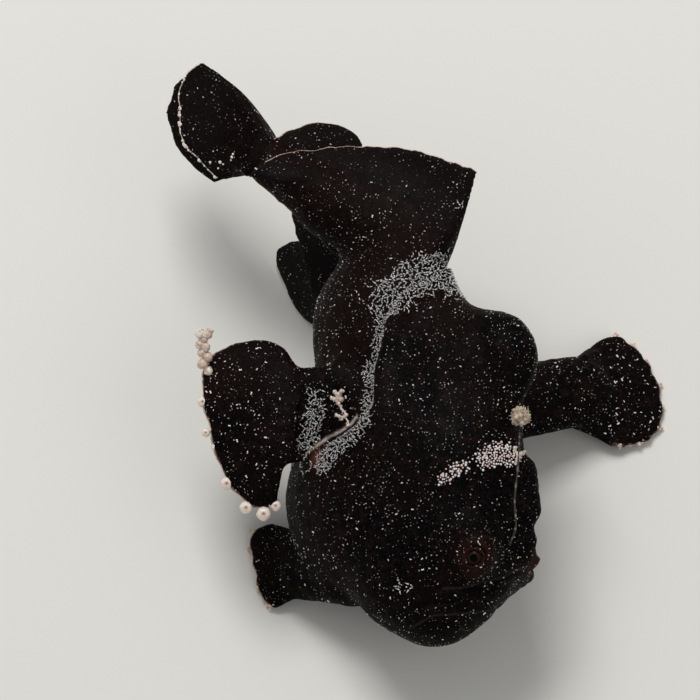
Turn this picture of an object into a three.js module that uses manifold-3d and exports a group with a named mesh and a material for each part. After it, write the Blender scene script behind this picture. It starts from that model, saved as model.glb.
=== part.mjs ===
// A young black frogfish at life size, walking on its fins with its tail curled up.
// Units are millimetres, +Z is up, and the floor that its fins rest on is z = 0.
import * as THREE from 'three'
import { mergeVertices } from 'three/addons/utils/BufferGeometryUtils.js'
import Module from 'manifold-3d'

const wasm = await Module()
wasm.setup()

const radians = THREE.MathUtils.degToRad

// The main view looks down on the fish at this angle over the horizontal.
const VIEW_TILT = radians(66)

// The body's pose: it heads to -Y and a little to +X, and leans over to its left.
const HEADING = radians(17)
const ROLL = radians(53)
const BODY_MIDDLE = seen(3.85, -7.69, 9.4)

// What touching parts keep between them.
const GAP = 0.3

// Half the thickness of a fin at its root and at its tips, thicker on the hands and feet, and
// how far a ray stands out from it.
const FIN_HALF = 0.3
const FIN_TIP_HALF = 0.2
const HAND_HALF = 0.42
const HAND_TIP_HALF = 0.28
const RAY_RIDGE = 0.14

// Width of the net's cells on the body, on limbs, and on small pieces.
const BODY_STEP = 1.05
const LIMB_STEP = 1.0
const SMALL_STEP = 0.75

// Edges that the cuts leave shorter than this are drawn together.
const SHORTEST_EDGE = 0.06

// Directions of the body: forward to the snout, up to the back, and out to its right side.
const FORWARD = new THREE.Vector3(Math.sin(HEADING), -Math.cos(HEADING), 0)
const BACKWARD_UP = new THREE.Vector3(
  Math.sin(ROLL) * Math.cos(HEADING), Math.sin(ROLL) * Math.sin(HEADING), Math.cos(ROLL))
const RIGHTWARD = FORWARD.clone().cross(BACKWARD_UP)

// A place in the body's own directions, in mm from the middle of the body.
function fish(forward, up, right) {
  return BODY_MIDDLE.clone()
    .addScaledVector(FORWARD, forward)
    .addScaledVector(BACKWARD_UP, up)
    .addScaledVector(RIGHTWARD, right)
}

// A place by how it shows in the main view, in mm right of and above its middle,
// with its height over the floor.
function seen(right, up, height) {
  return new THREE.Vector3(right, (up - height * Math.cos(VIEW_TILT)) / Math.sin(VIEW_TILT), height)
}

// Flesh is a set of distance fields that run smoothly into one another.
function egg(middle, forward, up, right) {
  const away = new THREE.Vector3()
  return (place) => {
    away.subVectors(place, middle)
    const along = [away.dot(FORWARD), away.dot(BACKWARD_UP), away.dot(RIGHTWARD)]
    const inner = Math.hypot(along[0] / forward, along[1] / up, along[2] / right)
    const outer = Math.hypot(along[0] / forward ** 2, along[1] / up ** 2, along[2] / right ** 2)
    return outer < 1e-9 ? -Math.min(forward, up, right) : inner * (inner - 1) / outer
  }
}

// A tapered limb from one ball to another, pressed flat along one direction.
function limb(start, end, startRadius, endRadius, flatAlong = RIGHTWARD, flatness = 1) {
  const flat = flatAlong.clone().normalize()
  const squash = (vector) => vector.addScaledVector(flat, vector.dot(flat) * (1 / flatness - 1))
  const axis = squash(end.clone().sub(start))
  const length = axis.length()
  axis.normalize()
  const lean = (startRadius - endRadius) / length
  const side = Math.sqrt(Math.max(0, 1 - lean * lean))
  const away = new THREE.Vector3()
  return (place) => {
    squash(away.subVectors(place, start))
    const along = away.dot(axis)
    const across = Math.sqrt(Math.max(0, away.lengthSq() - along * along))
    const turn = along * side - across * lean
    if (turn < 0) return (away.length() - startRadius) * flatness ** 0.5
    if (turn > length * side) return (Math.hypot(across, along - length) - endRadius) * flatness ** 0.5
    return (across * side + along * lean - startRadius) * flatness ** 0.5
  }
}

function blend(fields, softness) {
  return (place) => fields.reduce((total, field) => {
    const next = field(place)
    const share = Math.max(0, softness - Math.abs(total - next)) / softness
    return Math.min(total, next) - share * share * softness / 4
  }, Infinity)
}

// The closed surface where a field equals `level`, on a net of cells `step` wide.
function solidOf(field, low, high, step, level = 0) {
  const count = [0, 1, 2].map((axis) => Math.ceil((high.getComponent(axis) - low.getComponent(axis)) / step) + 1)
  const stride = [1, count[0], count[0] * count[1]]
  const value = new Float64Array(count[0] * count[1] * count[2])
  const place = new THREE.Vector3()
  const valueAt = (x, y, z) => field(place.set(x, y, z)) - level
  for (let k = 0; k < count[2]; k += 1) {
    for (let j = 0; j < count[1]; j += 1) {
      for (let i = 0; i < count[0]; i += 1) {
        value[i + j * stride[1] + k * stride[2]] = valueAt(low.x + i * step, low.y + j * step, low.z + k * step)
      }
    }
  }
  const positions = []
  const vertexOf = new Map()
  const gradient = new THREE.Vector3()
  const small = step * 0.05
  const addVertex = (i, j, k) => {
    const corner = i + j * stride[1] + k * stride[2]
    const sum = [0, 0, 0]
    let crossings = 0
    for (let axis = 0; axis < 3; axis += 1) {
      const [other, third] = [(axis + 1) % 3, (axis + 2) % 3]
      for (let turn = 0; turn < 4; turn += 1) {
        const offset = [0, 0, 0]
        offset[other] = turn & 1
        offset[third] = turn >> 1
        const start = corner + offset[0] + offset[1] * stride[1] + offset[2] * stride[2]
        const [from, to] = [value[start], value[start + stride[axis]]]
        if ((from < 0) !== (to < 0)) {
          offset[axis] = from / (from - to)
          offset.forEach((part, index) => { sum[index] += part })
          crossings += 1
        }
      }
    }
    const point = new THREE.Vector3(
      low.x + (i + sum[0] / crossings) * step,
      low.y + (j + sum[1] / crossings) * step,
      low.z + (k + sum[2] / crossings) * step)
    const here = valueAt(point.x, point.y, point.z)
    gradient.set(
      valueAt(point.x + small, point.y, point.z) - valueAt(point.x - small, point.y, point.z),
      valueAt(point.x, point.y + small, point.z) - valueAt(point.x, point.y - small, point.z),
      valueAt(point.x, point.y, point.z + small) - valueAt(point.x, point.y, point.z - small))
    const slope = gradient.length() / (2 * small)
    const shift = THREE.MathUtils.clamp(here / Math.max(slope, 0.2), -0.4 * step, 0.4 * step)
    point.addScaledVector(gradient.normalize(), -shift)
    positions.push(point.x, point.y, point.z)
    return positions.length / 3 - 1
  }
  const cell = (i, j, k) => {
    const key = i + j * stride[1] + k * stride[2]
    if (!vertexOf.has(key)) vertexOf.set(key, addVertex(i, j, k))
    return vertexOf.get(key)
  }
  const triangles = []
  for (let k = 1; k < count[2] - 1; k += 1) {
    for (let j = 1; j < count[1] - 1; j += 1) {
      for (let i = 1; i < count[0] - 1; i += 1) {
        const here = [i, j, k]
        const start = i + j * stride[1] + k * stride[2]
        for (let axis = 0; axis < 3; axis += 1) {
          const inside = value[start] < 0
          if (inside === value[start + stride[axis]] < 0) continue
          const [other, third] = [(axis + 1) % 3, (axis + 2) % 3]
          const corners = [[-1, -1], [0, -1], [0, 0], [-1, 0]].map(([a, b]) => {
            const at = [...here]
            at[other] += a
            at[third] += b
            return cell(...at)
          })
          if (!inside) corners.reverse()
          triangles.push(corners[0], corners[1], corners[2], corners[0], corners[2], corners[3])
        }
      }
    }
  }
  return closed(positions, triangles)
}

function closed(positions, triangles) {
  const mesh = new wasm.Mesh({
    numProp: 3, vertProperties: new Float32Array(positions), triVerts: new Uint32Array(triangles)
  })
  return new wasm.Manifold(mesh)
}

function fromGeometry(geometry) {
  geometry.deleteAttribute('normal')
  geometry.deleteAttribute('uv')
  const merged = mergeVertices(geometry, 1e-5)
  return closed(merged.attributes.position.array, merged.index.array)
}

// All that lies beyond a plane, on the side that its direction points to.
function beyond(point, direction) {
  const size = 120
  const block = new THREE.BoxGeometry(size, size, size)
  block.translate(0, 0, size / 2)
  const turn = new THREE.Quaternion().setFromUnitVectors(new THREE.Vector3(0, 0, 1), direction.clone().normalize())
  block.applyQuaternion(turn)
  block.translate(point.x, point.y, point.z)
  return fromGeometry(block)
}

const largest = (solid) => solid.decompose().reduce((best, piece) => (
  piece.volume() > best.volume() ? piece : best))

// A smooth line through a few places.
function rail(...places) {
  return new THREE.CatmullRomCurve3(places.map((place) => (
    place.isVector3 ? place : seen(...place))), false, 'centripetal')
}

// How much of a ray shows at a place across a fin: 1 on a ray, 0 halfway to the next.
const rayness = (across, rays) => (1 - Math.cos(across * rays * 2 * Math.PI)) / 2

// A thin closed fin. Its rays run from the root rail to the margin rail, bowed by `bow` in the
// middle. Both faces are split alike, and ridges along the rays are raised in the faces.
// The membrane stops short of the ray tips by `web` of a ray's length.
function fin({ root, margin, rays, steps = 6, perRay = 2, half = FIN_HALF, tipHalf = FIN_TIP_HALF,
  bow = [0, 0, 0], web = 0.04 }) {
  const columns = rays * perRay
  const bowed = new THREE.Vector3(...bow)
  const middle = (across, out) => {
    const tip = root.getPoint(across).lerp(margin.getPoint(across), out)
    return tip.addScaledVector(bowed, Math.sin(Math.PI * out))
  }
  const reach = (across) => 1 - web * (1 - rayness(across, rays))
  const positions = []
  const faces = [1, -1]
  const side = new THREE.Vector3()
  const down = new THREE.Vector3()
  faces.forEach((face) => {
    for (let i = 0; i <= columns; i += 1) {
      for (let j = 0; j <= steps; j += 1) {
        const across = i / columns
        const out = j / steps * reach(across)
        const [before, after] = [Math.max(0, across - 0.03), Math.min(1, across + 0.03)]
        side.subVectors(middle(after, out), middle(before, out))
        down.subVectors(middle(across, Math.min(1, out + 0.03)), middle(across, Math.max(0, out - 0.03)))
        const normal = side.clone().cross(down).normalize()
        const ridge = RAY_RIDGE * rayness(across, rays) * (1 - 0.6 * out)
        const thickness = THREE.MathUtils.lerp(half, tipHalf, out ** 2) + ridge
        const point = middle(across, out).addScaledVector(normal, face * thickness)
        positions.push(point.x, point.y, point.z)
      }
    }
  })
  const layer = (columns + 1) * (steps + 1)
  const at = (i, j, face) => i * (steps + 1) + j + (face < 0 ? layer : 0)
  const triangles = []
  const quad = (a, b, c, d) => triangles.push(a, b, c, a, c, d)
  for (let i = 0; i < columns; i += 1) {
    for (let j = 0; j < steps; j += 1) {
      const [a, b, c, d] = [at(i, j, 1), at(i + 1, j, 1), at(i + 1, j + 1, 1), at(i, j + 1, 1)]
      triangles.push(a, b, c, a, c, d)
      triangles.push(a + layer, c + layer, b + layer, a + layer, d + layer, c + layer)
    }
  }
  for (let i = 0; i < columns; i += 1) {
    quad(at(i + 1, 0, 1), at(i, 0, 1), at(i, 0, -1), at(i + 1, 0, -1))
    quad(at(i, steps, 1), at(i + 1, steps, 1), at(i + 1, steps, -1), at(i, steps, -1))
  }
  for (let j = 0; j < steps; j += 1) {
    quad(at(0, j, 1), at(0, j + 1, 1), at(0, j + 1, -1), at(0, j, -1))
    quad(at(columns, j + 1, 1), at(columns, j, 1), at(columns, j, -1), at(columns, j + 1, -1))
  }
  const solid = closed(positions, triangles)
  return solid.volume() > 0 ? solid : closed(positions, triangles.reverse())
}

const MATERIALS = {
  skin: new THREE.MeshStandardMaterial({ color: 0x1a1413, roughness: 0.62, metalness: 0 }),
  fin: new THREE.MeshStandardMaterial({ color: 0x1d1716, roughness: 0.55, metalness: 0 }),
  lure: new THREE.MeshStandardMaterial({ color: 0xc9b79a, roughness: 0.8, metalness: 0 }),
  eye: new THREE.MeshStandardMaterial({ color: 0x2a1a16, roughness: 0.1, metalness: 0 })
}

const frogfish = new THREE.Group()

// Cuts leave some very short edges. Each is drawn together into one vertex, shortest first,
// and only where no more than the two triangles beside it vanish.
function withoutShortEdges(positions, triangles, shortest) {
  const vertices = Array.from({ length: positions.length / 3 }, (_, i) => (
    new THREE.Vector3().fromArray(positions, i * 3)))
  let faces = Array.from({ length: triangles.length / 3 }, (_, i) => (
    [triangles[i * 3], triangles[i * 3 + 1], triangles[i * 3 + 2]]))
  for (let round = 0; round < 12; round += 1) {
    const neighbours = vertices.map(() => new Set())
    const edges = []
    faces.forEach((face) => face.forEach((from, index) => {
      const to = face[(index + 1) % 3]
      neighbours[from].add(to)
      neighbours[to].add(from)
      const length = vertices[from].distanceTo(vertices[to])
      if (from < to && length < shortest) edges.push([length, from, to])
    }))
    if (!edges.length) break
    const touched = new Set()
    const moved = new Map()
    edges.sort((a, b) => a[0] - b[0]).forEach(([, keep, drop]) => {
      const around = [...neighbours[keep], ...neighbours[drop]]
      if (around.some((vertex) => touched.has(vertex))) return
      const shared = [...neighbours[keep]].filter((vertex) => neighbours[drop].has(vertex))
      if (shared.length > 2) return
      around.forEach((vertex) => touched.add(vertex))
      moved.set(drop, keep)
    })
    if (!moved.size) break
    faces = faces
      .map((face) => face.map((vertex) => moved.get(vertex) ?? vertex))
      .filter(([a, b, c]) => a !== b && b !== c && c !== a)
  }
  return faces
}

function addPart(name, solid, material) {
  const { vertProperties, triVerts } = largest(solid).getMesh()
  const faces = withoutShortEdges(vertProperties, triVerts, SHORTEST_EDGE)
  const geometry = new THREE.BufferGeometry()
  geometry.setAttribute('position', new THREE.BufferAttribute(vertProperties, 3))
  geometry.setIndex(faces.flat())
  geometry.computeVertexNormals()
  const mesh = new THREE.Mesh(geometry, material)
  mesh.name = name
  frogfish.add(mesh)
}

// The head is a deep egg with a blunt snout, and the trunk narrows to the curled tail stalk.
const EYE_RADIUS = 0.8
const EYE_RIGHT = fish(12.9, 5.6, 4.1)
const EYE_LEFT = fish(12.5, 4.6, -4.0)
const bodyShape = blend([
  egg(fish(2.6, -0.5, 0), 9.4, 10.7, 6.2),
  egg(fish(9.4, 1.4, 0), 6.3, 6.2, 5.0),
  egg(fish(13.6, -1.0, 0.6), 2.9, 3.3, 3.4),
  egg(fish(10.0, -2.2, 1.0), 4.6, 4.6, 4.0),
  egg(fish(12.2, 5.2, 3.2), 2.0, 1.9, 1.4),
  egg(fish(11.7, 4.2, -3.0), 1.9, 1.8, 1.4),
  limb(fish(9.6, 7.1, -1.1), fish(12.0, 6.5, -1.4), 1.2, 1.1),
  limb(fish(-3, 0.9, 0), fish(-10, 2.3, 0), 7.4, 5.8, RIGHTWARD, 0.68),
  limb(fish(-4, 5.7, 0), fish(-9.6, 4.6, 0), 4.9, 4.3, RIGHTWARD, 0.68),
  limb(fish(-10, 2.3, 0), fish(-15, 5.5, 1), 5.8, 2.7, RIGHTWARD, 0.75),
  limb(fish(-15, 5.5, 1), fish(-19.3, 3, 3.2), 2.7, 2.5, RIGHTWARD, 0.85),
  limb(fish(-19.3, 3, 3.2), fish(-23.9, 0.6, 6.2), 2.5, 2.1, RIGHTWARD, 0.7)
], 1.6)

const WHOLE_LOW = new THREE.Vector3(-12, -31, -1)
const WHOLE_HIGH = new THREE.Vector3(18, 14, 24)

const body = solidOf(bodyShape, WHOLE_LOW, WHOLE_HIGH, BODY_STEP)
const bodyAndGap = solidOf(bodyShape, WHOLE_LOW, WHOLE_HIGH, BODY_STEP, GAP)

// Seams between the head, jaw, trunk and stalk are flat slots as wide as the gap.
function between(point, direction) {
  const way = direction.clone().normalize()
  const front = beyond(point.clone().addScaledVector(way, GAP / 2), way)
  const back = beyond(point.clone().addScaledVector(way, -GAP / 2), way.clone().negate())
  return { front, back }
}
const neck = between(fish(-7.8, 0.1, 0), FORWARD.clone().multiplyScalar(0.96).addScaledVector(BACKWARD_UP, 0.28))
const MOUTH_AXIS = FORWARD.clone().multiplyScalar(0.966).addScaledVector(BACKWARD_UP, -0.259)
const mouth = between(fish(15.5, 4.9, 0), MOUTH_AXIS)
const tailRoot = between(fish(-14.8, 5.1, 0.9), fish(-10, 3.3, 0).sub(fish(-15, 5.2, 1)))

const ball = (middle, radius) => {
  const geometry = new THREE.IcosahedronGeometry(radius, 2)
  geometry.translate(middle.x, middle.y, middle.z)
  return fromGeometry(geometry)
}

// A round rod along a curve, with closed ends.
function rod(curve, radius, steps, sides = 8) {
  const section = new THREE.Shape()
  for (let i = 0; i < sides; i += 1) {
    const turn = i / sides * 2 * Math.PI
    section[i ? 'lineTo' : 'moveTo'](radius * Math.cos(turn), radius * Math.sin(turn))
  }
  return fromGeometry(new THREE.ExtrudeGeometry(section, { steps, bevelEnabled: false, extrudePath: curve }))
}

// Where a straight way out from a place inside the flesh reaches a height over the skin.
function skinAlong(inside, direction, lift = 0) {
  let [low, high] = [0, 16]
  const place = new THREE.Vector3()
  for (let turn = 0; turn < 30; turn += 1) {
    const middle = (low + high) / 2
    if (bodyShape(place.copy(inside).addScaledVector(direction, middle)) < lift) low = middle
    else high = middle
  }
  return inside.clone().addScaledVector(direction, low)
}

// The gape runs up one cheek, over the front of the snout and down the other cheek.
const GAPE_SPREAD = radians(118)
const LIP_RADIUS = 0.42
const LIP_STEPS = 20
function lip(side) {
  const middle = fish(14.3, 0.8, 0).addScaledVector(MOUTH_AXIS, side * (GAP / 2 + LIP_RADIUS))
  const over = new THREE.Vector3().crossVectors(MOUTH_AXIS, RIGHTWARD).normalize().negate()
  const places = []
  for (let i = 0; i <= 12; i += 1) {
    const turn = GAPE_SPREAD * (i / 6 - 1)
    const way = over.clone().multiplyScalar(Math.cos(turn)).addScaledVector(RIGHTWARD, Math.sin(turn))
    places.push(skinAlong(middle, way, -0.12))
  }
  return rod(new THREE.CatmullRomCurve3(places), LIP_RADIUS, LIP_STEPS, 6)
}

// A raised ring of skin round each eye, and a short open tube for each nostril.
function lids(eye, out) {
  const ring = new THREE.TorusGeometry(EYE_RADIUS + GAP + 0.12, 0.3, 6, 14)
  ring.applyQuaternion(new THREE.Quaternion().setFromUnitVectors(new THREE.Vector3(0, 0, 1), out))
  ring.translate(eye.x, eye.y, eye.z)
  return fromGeometry(ring)
}
function nostril(foot, out) {
  const [bore, wall, height] = [0.22, 0.5, 0.75]
  const profile = [[0, -0.8], [wall + 0.1, -0.8], [wall, height], [bore, height], [bore, 0.1], [0, 0.1]]
  const tube = new THREE.LatheGeometry(profile.map(([x, y]) => new THREE.Vector2(x, y)), 8)
  tube.applyQuaternion(new THREE.Quaternion().setFromUnitVectors(new THREE.Vector3(0, 1, 0), out))
  tube.translate(foot.x, foot.y, foot.z)
  return fromGeometry(tube)
}
const sockets = ball(EYE_RIGHT, EYE_RADIUS + GAP).add(ball(EYE_LEFT, EYE_RADIUS + GAP))
const eyeOut = (side) => FORWARD.clone().multiplyScalar(0.45).addScaledVector(BACKWARD_UP, 0.25)
  .addScaledVector(RIGHTWARD, side * 0.85).normalize()
function addNostril(head, inside, mouthOfTube) {
  const out = mouthOfTube.clone().sub(inside).normalize()
  return head.add(nostril(skinAlong(inside, out), out))
}

const skull = body.intersect(neck.front).intersect(mouth.back)
  .add(lids(EYE_RIGHT, eyeOut(1))).add(lids(EYE_LEFT, eyeOut(-1))).add(lip(-1))
const withRightNostril = addNostril(skull, fish(11.5, 3.6, 2.0), fish(14.4, 4.9, 3.9))
const face = addNostril(withRightNostril, fish(10, 4, -1), fish(12.6, 6.9, -2.6))
addPart('head', face.intersect(mouth.back).subtract(sockets), MATERIALS.skin)
addPart('lower_jaw', body.intersect(mouth.front).add(lip(1)).intersect(mouth.front), MATERIALS.skin)
addPart('trunk', body.intersect(neck.back).intersect(tailRoot.front), MATERIALS.skin)
addPart('tail_stalk', body.intersect(tailRoot.back), MATERIALS.skin)
addPart('eye_right', ball(EYE_RIGHT, EYE_RADIUS), MATERIALS.eye)
addPart('eye_left', ball(EYE_LEFT, EYE_RADIUS), MATERIALS.eye)

// The third spine of the back is a rounded fleshy lobe; the second lies back on the forehead.
function grownFrom(field, carrier, step, reach) {
  const middle = reach.middle
  const low = middle.clone().subScalar(reach.size)
  const high = middle.clone().addScalar(reach.size)
  return solidOf(field, low, high, step).subtract(carrier)
}
const thirdSpine = blend([
  limb(fish(-2.6, 6.5, 0), fish(-2.7, 10.8, -0.2), 3.8, 3.4, RIGHTWARD, 0.66),
  limb(fish(-1.4, 6.5, 0), fish(-1.6, 10.8, -0.1), 3.4, 2.7, RIGHTWARD, 0.66)
], 1)
addPart('dorsal_spine_third', grownFrom(thirdSpine, bodyAndGap, LIMB_STEP,
  { middle: fish(-1.5, 9.5, 0), size: 7.5 }), MATERIALS.skin)

const secondSpine = limb(fish(9.4, 8.5, -1.0), fish(6.4, 9.0, -1.0), 1.15, 1.35)
addPart('dorsal_spine_second', grownFrom(secondSpine, bodyAndGap, SMALL_STEP,
  { middle: fish(8, 8.8, -1), size: 6 }), MATERIALS.skin)

const skinAbove = (forward, right, lift) => skinAlong(fish(forward, 0, right), BACKWARD_UP, lift)

// The lure: a rod that lies back along the forehead, with a tuft of blunt threads at its end.
const LURE_ROD_RADIUS = 0.27
const lurePath = rail(
  skinAbove(12.2, 1.2, 0.2), skinAbove(11.2, 1.3, 0.8), skinAbove(9.2, 1.3, 0.9), skinAbove(7.0, 1.1, 0.9),
  skinAbove(5.2, 1.0, 0.9), skinAbove(4.3, 0.9, 1.0))
addPart('illicium', rod(lurePath, LURE_ROD_RADIUS, 24).subtract(bodyAndGap), MATERIALS.lure)
const escaMiddle = skinAbove(3.1, 0.8, 1.25)
const ESCA_THREADS = 18
function esca() {
  const turnStep = Math.PI * (3 - Math.sqrt(5))
  let tuft = ball(escaMiddle, 0.5)
  for (let i = 0; i < ESCA_THREADS; i += 1) {
    const height = 1 - 2 * (i + 0.5) / ESCA_THREADS
    const across = Math.sqrt(1 - height * height)
    const way = new THREE.Vector3(across * Math.cos(i * turnStep), across * Math.sin(i * turnStep), height)
    const length = 0.75 + 0.25 * Math.sin(i * 2.3)
    const thread = new THREE.CylinderGeometry(0.1, 0.2, length, 5, 1)
    thread.translate(0, length / 2, 0)
    thread.applyQuaternion(new THREE.Quaternion().setFromUnitVectors(new THREE.Vector3(0, 1, 0), way))
    thread.translate(escaMiddle.x, escaMiddle.y, escaMiddle.z)
    tuft = tuft.add(fromGeometry(thread))
  }
  return tuft
}
addPart('esca', esca().subtract(bodyAndGap), MATERIALS.lure)

// The soft fins of the back and belly, each with a second, folded blade behind the first.
// Fleshy feet along the base join the two blades.
const FIN_FOOT_RADIUS = 0.8
const dorsalRoot = [fish(-9.8, 5.6, 0), fish(-15, 5.6, 1), fish(-19.3, 3.4, 3.1), fish(-22.8, 1.4, 5.5)]
const dorsalFoot = [fish(-11.6, 8.0, 0), fish(-15, 8.0, 0.7), fish(-19.6, 5.6, 2.9), fish(-22.9, 2.9, 5.2)]
const rearFoot = [fish(-19.3, 6.8, 2.6), fish(-20.6, 6.2, 2.1), fish(-21.8, 5.1, 2.0), fish(-23.1, 3.9, 3.1)]
const dorsalFin = fin({
  root: rail(...dorsalRoot),
  margin: rail([9.8, 13.8, 18.4], [7.6, 14.6, 17.6], [4.4, 15.5, 16.6], [0.6, 15.7, 15.9],
    [-2.7, 15.5, 15.8], [-6.2, 14.6, 16.2], [-7.9, 13.2, 16.0]),
  rays: 12,
  steps: 8,
  bow: [0.5, -0.3, 0.3]
}).add(fin({
  root: rail(fish(-15.0, 5.2, 0.9), fish(-19.3, 3.2, 2.9), fish(-22.8, 1.2, 5.2)),
  margin: rail([0.9, 15.4, 13.2], [0.4, 16.7, 13.1], [-2.0, 17.6, 13.3], [-4.2, 17.1, 13.8], [-5.6, 16.4, 14.4]),
  rays: 5,
  bow: [0.4, 0, 0.6]
})).add(rod(new THREE.CatmullRomCurve3(dorsalFoot), FIN_FOOT_RADIUS, 16, 6))
  .add(rod(new THREE.CatmullRomCurve3(rearFoot), FIN_FOOT_RADIUS, 8, 6))
addPart('dorsal_fin', dorsalFin.subtract(bodyAndGap), MATERIALS.fin)

const analFoot = [fish(-9.9, -3.0, -1.3), fish(-12.6, -0.9, -1.2), fish(-15.2, 1.6, -0.2), fish(-18.0, 0.8, 1.2)]
const analFin = fin({
  root: rail(fish(-10.6, 0.8, -1.3), fish(-15, 3.9, -0.2), fish(-18.8, 2.9, 2.2)),
  margin: rail([-2.5, 2.6, 6.4], [-3.2, 5.0, 6.5], [-3.7, 7.0, 6.5], [-4.1, 8.6, 7.0], [-4.6, 10.9, 7.9]),
  rays: 7
}).add(fin({
  root: rail(fish(-10.8, -0.8, -1.2), fish(-13, 0.8, -1.0), fish(-15.8, 2.2, -0.2)),
  margin: rail([-2.0, 1.6, 0.5], [-3.8, 2.7, 0.1], [-5.1, 5.1, 0.1], [-5.8, 7.4, 0.8], [-5.1, 8.2, 2.0],
    [-4.1, 8.5, 3.0]),
  rays: 5
})).add(rod(new THREE.CatmullRomCurve3(analFoot), 1.5 * FIN_FOOT_RADIUS, 12, 6))
const overFloor = beyond(new THREE.Vector3(0, 0, 0), new THREE.Vector3(0, 0, 1))
addPart('anal_fin', analFin.subtract(bodyAndGap).intersect(overFloor), MATERIALS.fin)

// The tail fin is folded lengthwise along its middle ray, so its two halves face each other.
addPart('tail_fin_lower_half', fin({
  root: rail([-7.9, 13.3, 13.6], [-6.8, 14.8, 14.7], [-5.8, 16.3, 15.6]),
  margin: rail([-10.3, 13.2, 12.8], [-11.9, 14.9, 13.1], [-12.9, 16.0, 13.4], [-13.2, 18.2, 13.9],
    [-13.0, 20.8, 14.6], [-11.5, 22.3, 15.6]),
  rays: 5,
  bow: [0.35, 0.35, 0.5]
}).subtract(bodyAndGap), MATERIALS.fin)
addPart('tail_fin_upper_half', fin({
  root: rail([-6.0, 15.4, 14.2], [-6.6, 14.6, 13.5], [-7.6, 13.6, 12.6]),
  margin: rail([-11.6, 21.8, 14.2], [-13.3, 20.9, 11.1], [-14.2, 18.4, 9.4], [-13.2, 15.3, 8.8],
    [-10.6, 12.9, 9.8]),
  rays: 5
}).subtract(bodyAndGap), MATERIALS.fin)

// The arms, each ending in a hand whose rays are splayed; the right one is raised.
const VIEW_WARD = new THREE.Vector3(0, -Math.cos(VIEW_TILT), Math.sin(VIEW_TILT))
const UPWARD = new THREE.Vector3(0, 0, 1)
function addLimb(name, { shoulder, wrist, radii, flat, flatness, hand }) {
  const arm = limb(shoulder, wrist, radii[0], radii[1], flat, flatness)
  const middle = shoulder.clone().lerp(wrist, 0.5)
  const size = shoulder.distanceTo(wrist) / 2 + Math.max(...radii) + 2.5
  const low = middle.clone().subScalar(size)
  const high = middle.clone().addScalar(size)
  const armSolid = solidOf(arm, low, high, LIMB_STEP)
  const armAndGap = solidOf(arm, low, high, LIMB_STEP, GAP)
  const away = wrist.clone().sub(shoulder).normalize()
  const cuff = between(wrist.clone().addScaledVector(away, hand.cuff), away)
  const handSolid = fin(hand).intersect(cuff.front).add(armSolid.intersect(cuff.front))
  addPart(`pectoral_arm_${name}`, armSolid.intersect(cuff.back).subtract(bodyAndGap).intersect(overFloor),
    MATERIALS.skin)
  addPart(`pectoral_fin_${name}`, handSolid.subtract(armAndGap.intersect(cuff.back)).intersect(overFloor),
    MATERIALS.fin)
}
addLimb('right', {
  shoulder: seen(-1.0, -4.6, 11.4),
  wrist: seen(-4.3, -4.6, 11.9),
  radii: [3.8, 3.5],
  flat: VIEW_WARD,
  flatness: 0.38,
  hand: {
    cuff: 1.0,
    root: rail([-3.8, -1.6, 12.2], [-4.1, -4.9, 12.2], [-5.0, -8.3, 11.4]),
    margin: rail([-5.0, -0.1, 12.5], [-6.6, 0.7, 12.4], [-8.2, 0.6, 12.2], [-9.7, 0.1, 12.0],
      [-11.0, -0.9, 11.6], [-11.4, -3.2, 11.0], [-10.9, -5.8, 10.6], [-9.9, -9.2, 10.2],
      [-8.4, -11.4, 10.0], [-6.9, -12.2, 10.0], [-5.6, -11.7, 10.2]),
    rays: 10,
    perRay: 4,
    half: HAND_HALF,
    tipHalf: HAND_TIP_HALF,
    web: 0.06,
    bow: [0, -0.2, 0.6]
  }
})
addLimb('left', {
  shoulder: seen(9.6, -4.5, 5.5),
  wrist: seen(17.4, -3.2, 2.8),
  radii: [3.6, 3.2],
  flat: UPWARD,
  flatness: 0.45,
  hand: {
    cuff: 0.2,
    root: rail([17.0, -0.9, 2.9], [17.2, -3.3, 2.8], [17.6, -5.7, 2.5]),
    margin: rail([19.2, 0.7, 1.2], [20.7, 1.1, 0.6], [22.3, 0.0, 0.3], [23.4, -1.5, 0.3], [24.2, -3.8, 0.3],
      [24.1, -5.9, 0.3], [23.1, -7.0, 0.4], [21.6, -7.4, 0.7], [20.2, -7.4, 1.2]),
    rays: 10,
    perRay: 4,
    half: HAND_HALF,
    tipHalf: HAND_TIP_HALF,
    web: 0.12,
    bow: [0, 0, -0.2]
  }
})

// The pelvic fins stand on the floor like short feet, the left one under the chin.
function addPelvic(name, { hip, sole, radii, foot }) {
  const leg = limb(hip, sole, radii[0], radii[1], UPWARD, 0.6)
  const middle = hip.clone().lerp(sole, 0.5)
  const size = hip.distanceTo(sole) / 2 + Math.max(...radii) + 2
  const legSolid = solidOf(leg, middle.clone().subScalar(size), middle.clone().addScalar(size), SMALL_STEP)
  addPart(`pelvic_fin_${name}`, legSolid.add(fin(foot)).subtract(bodyAndGap).intersect(overFloor),
    MATERIALS.fin)
}
addPelvic('right', {
  hip: seen(-0.2, -17.6, 4.8),
  sole: seen(-3.4, -17.4, 2.0),
  radii: [2.3, 2.2],
  foot: {
    root: rail([-2.4, -14.4, 3.2], [-2.4, -16.3, 3.0], [-2.2, -18.2, 2.4]),
    margin: rail([-6.2, -13.3, 1.6], [-7.6, -14.2, 0.6], [-7.6, -15.9, 0.3], [-7.3, -17.3, 0.3],
      [-7.0, -18.8, 0.3], [-5.9, -20.0, 0.5]),
    rays: 5,
    perRay: 4,
    half: HAND_HALF,
    tipHalf: HAND_TIP_HALF,
    web: 0.16
  }
})
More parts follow.
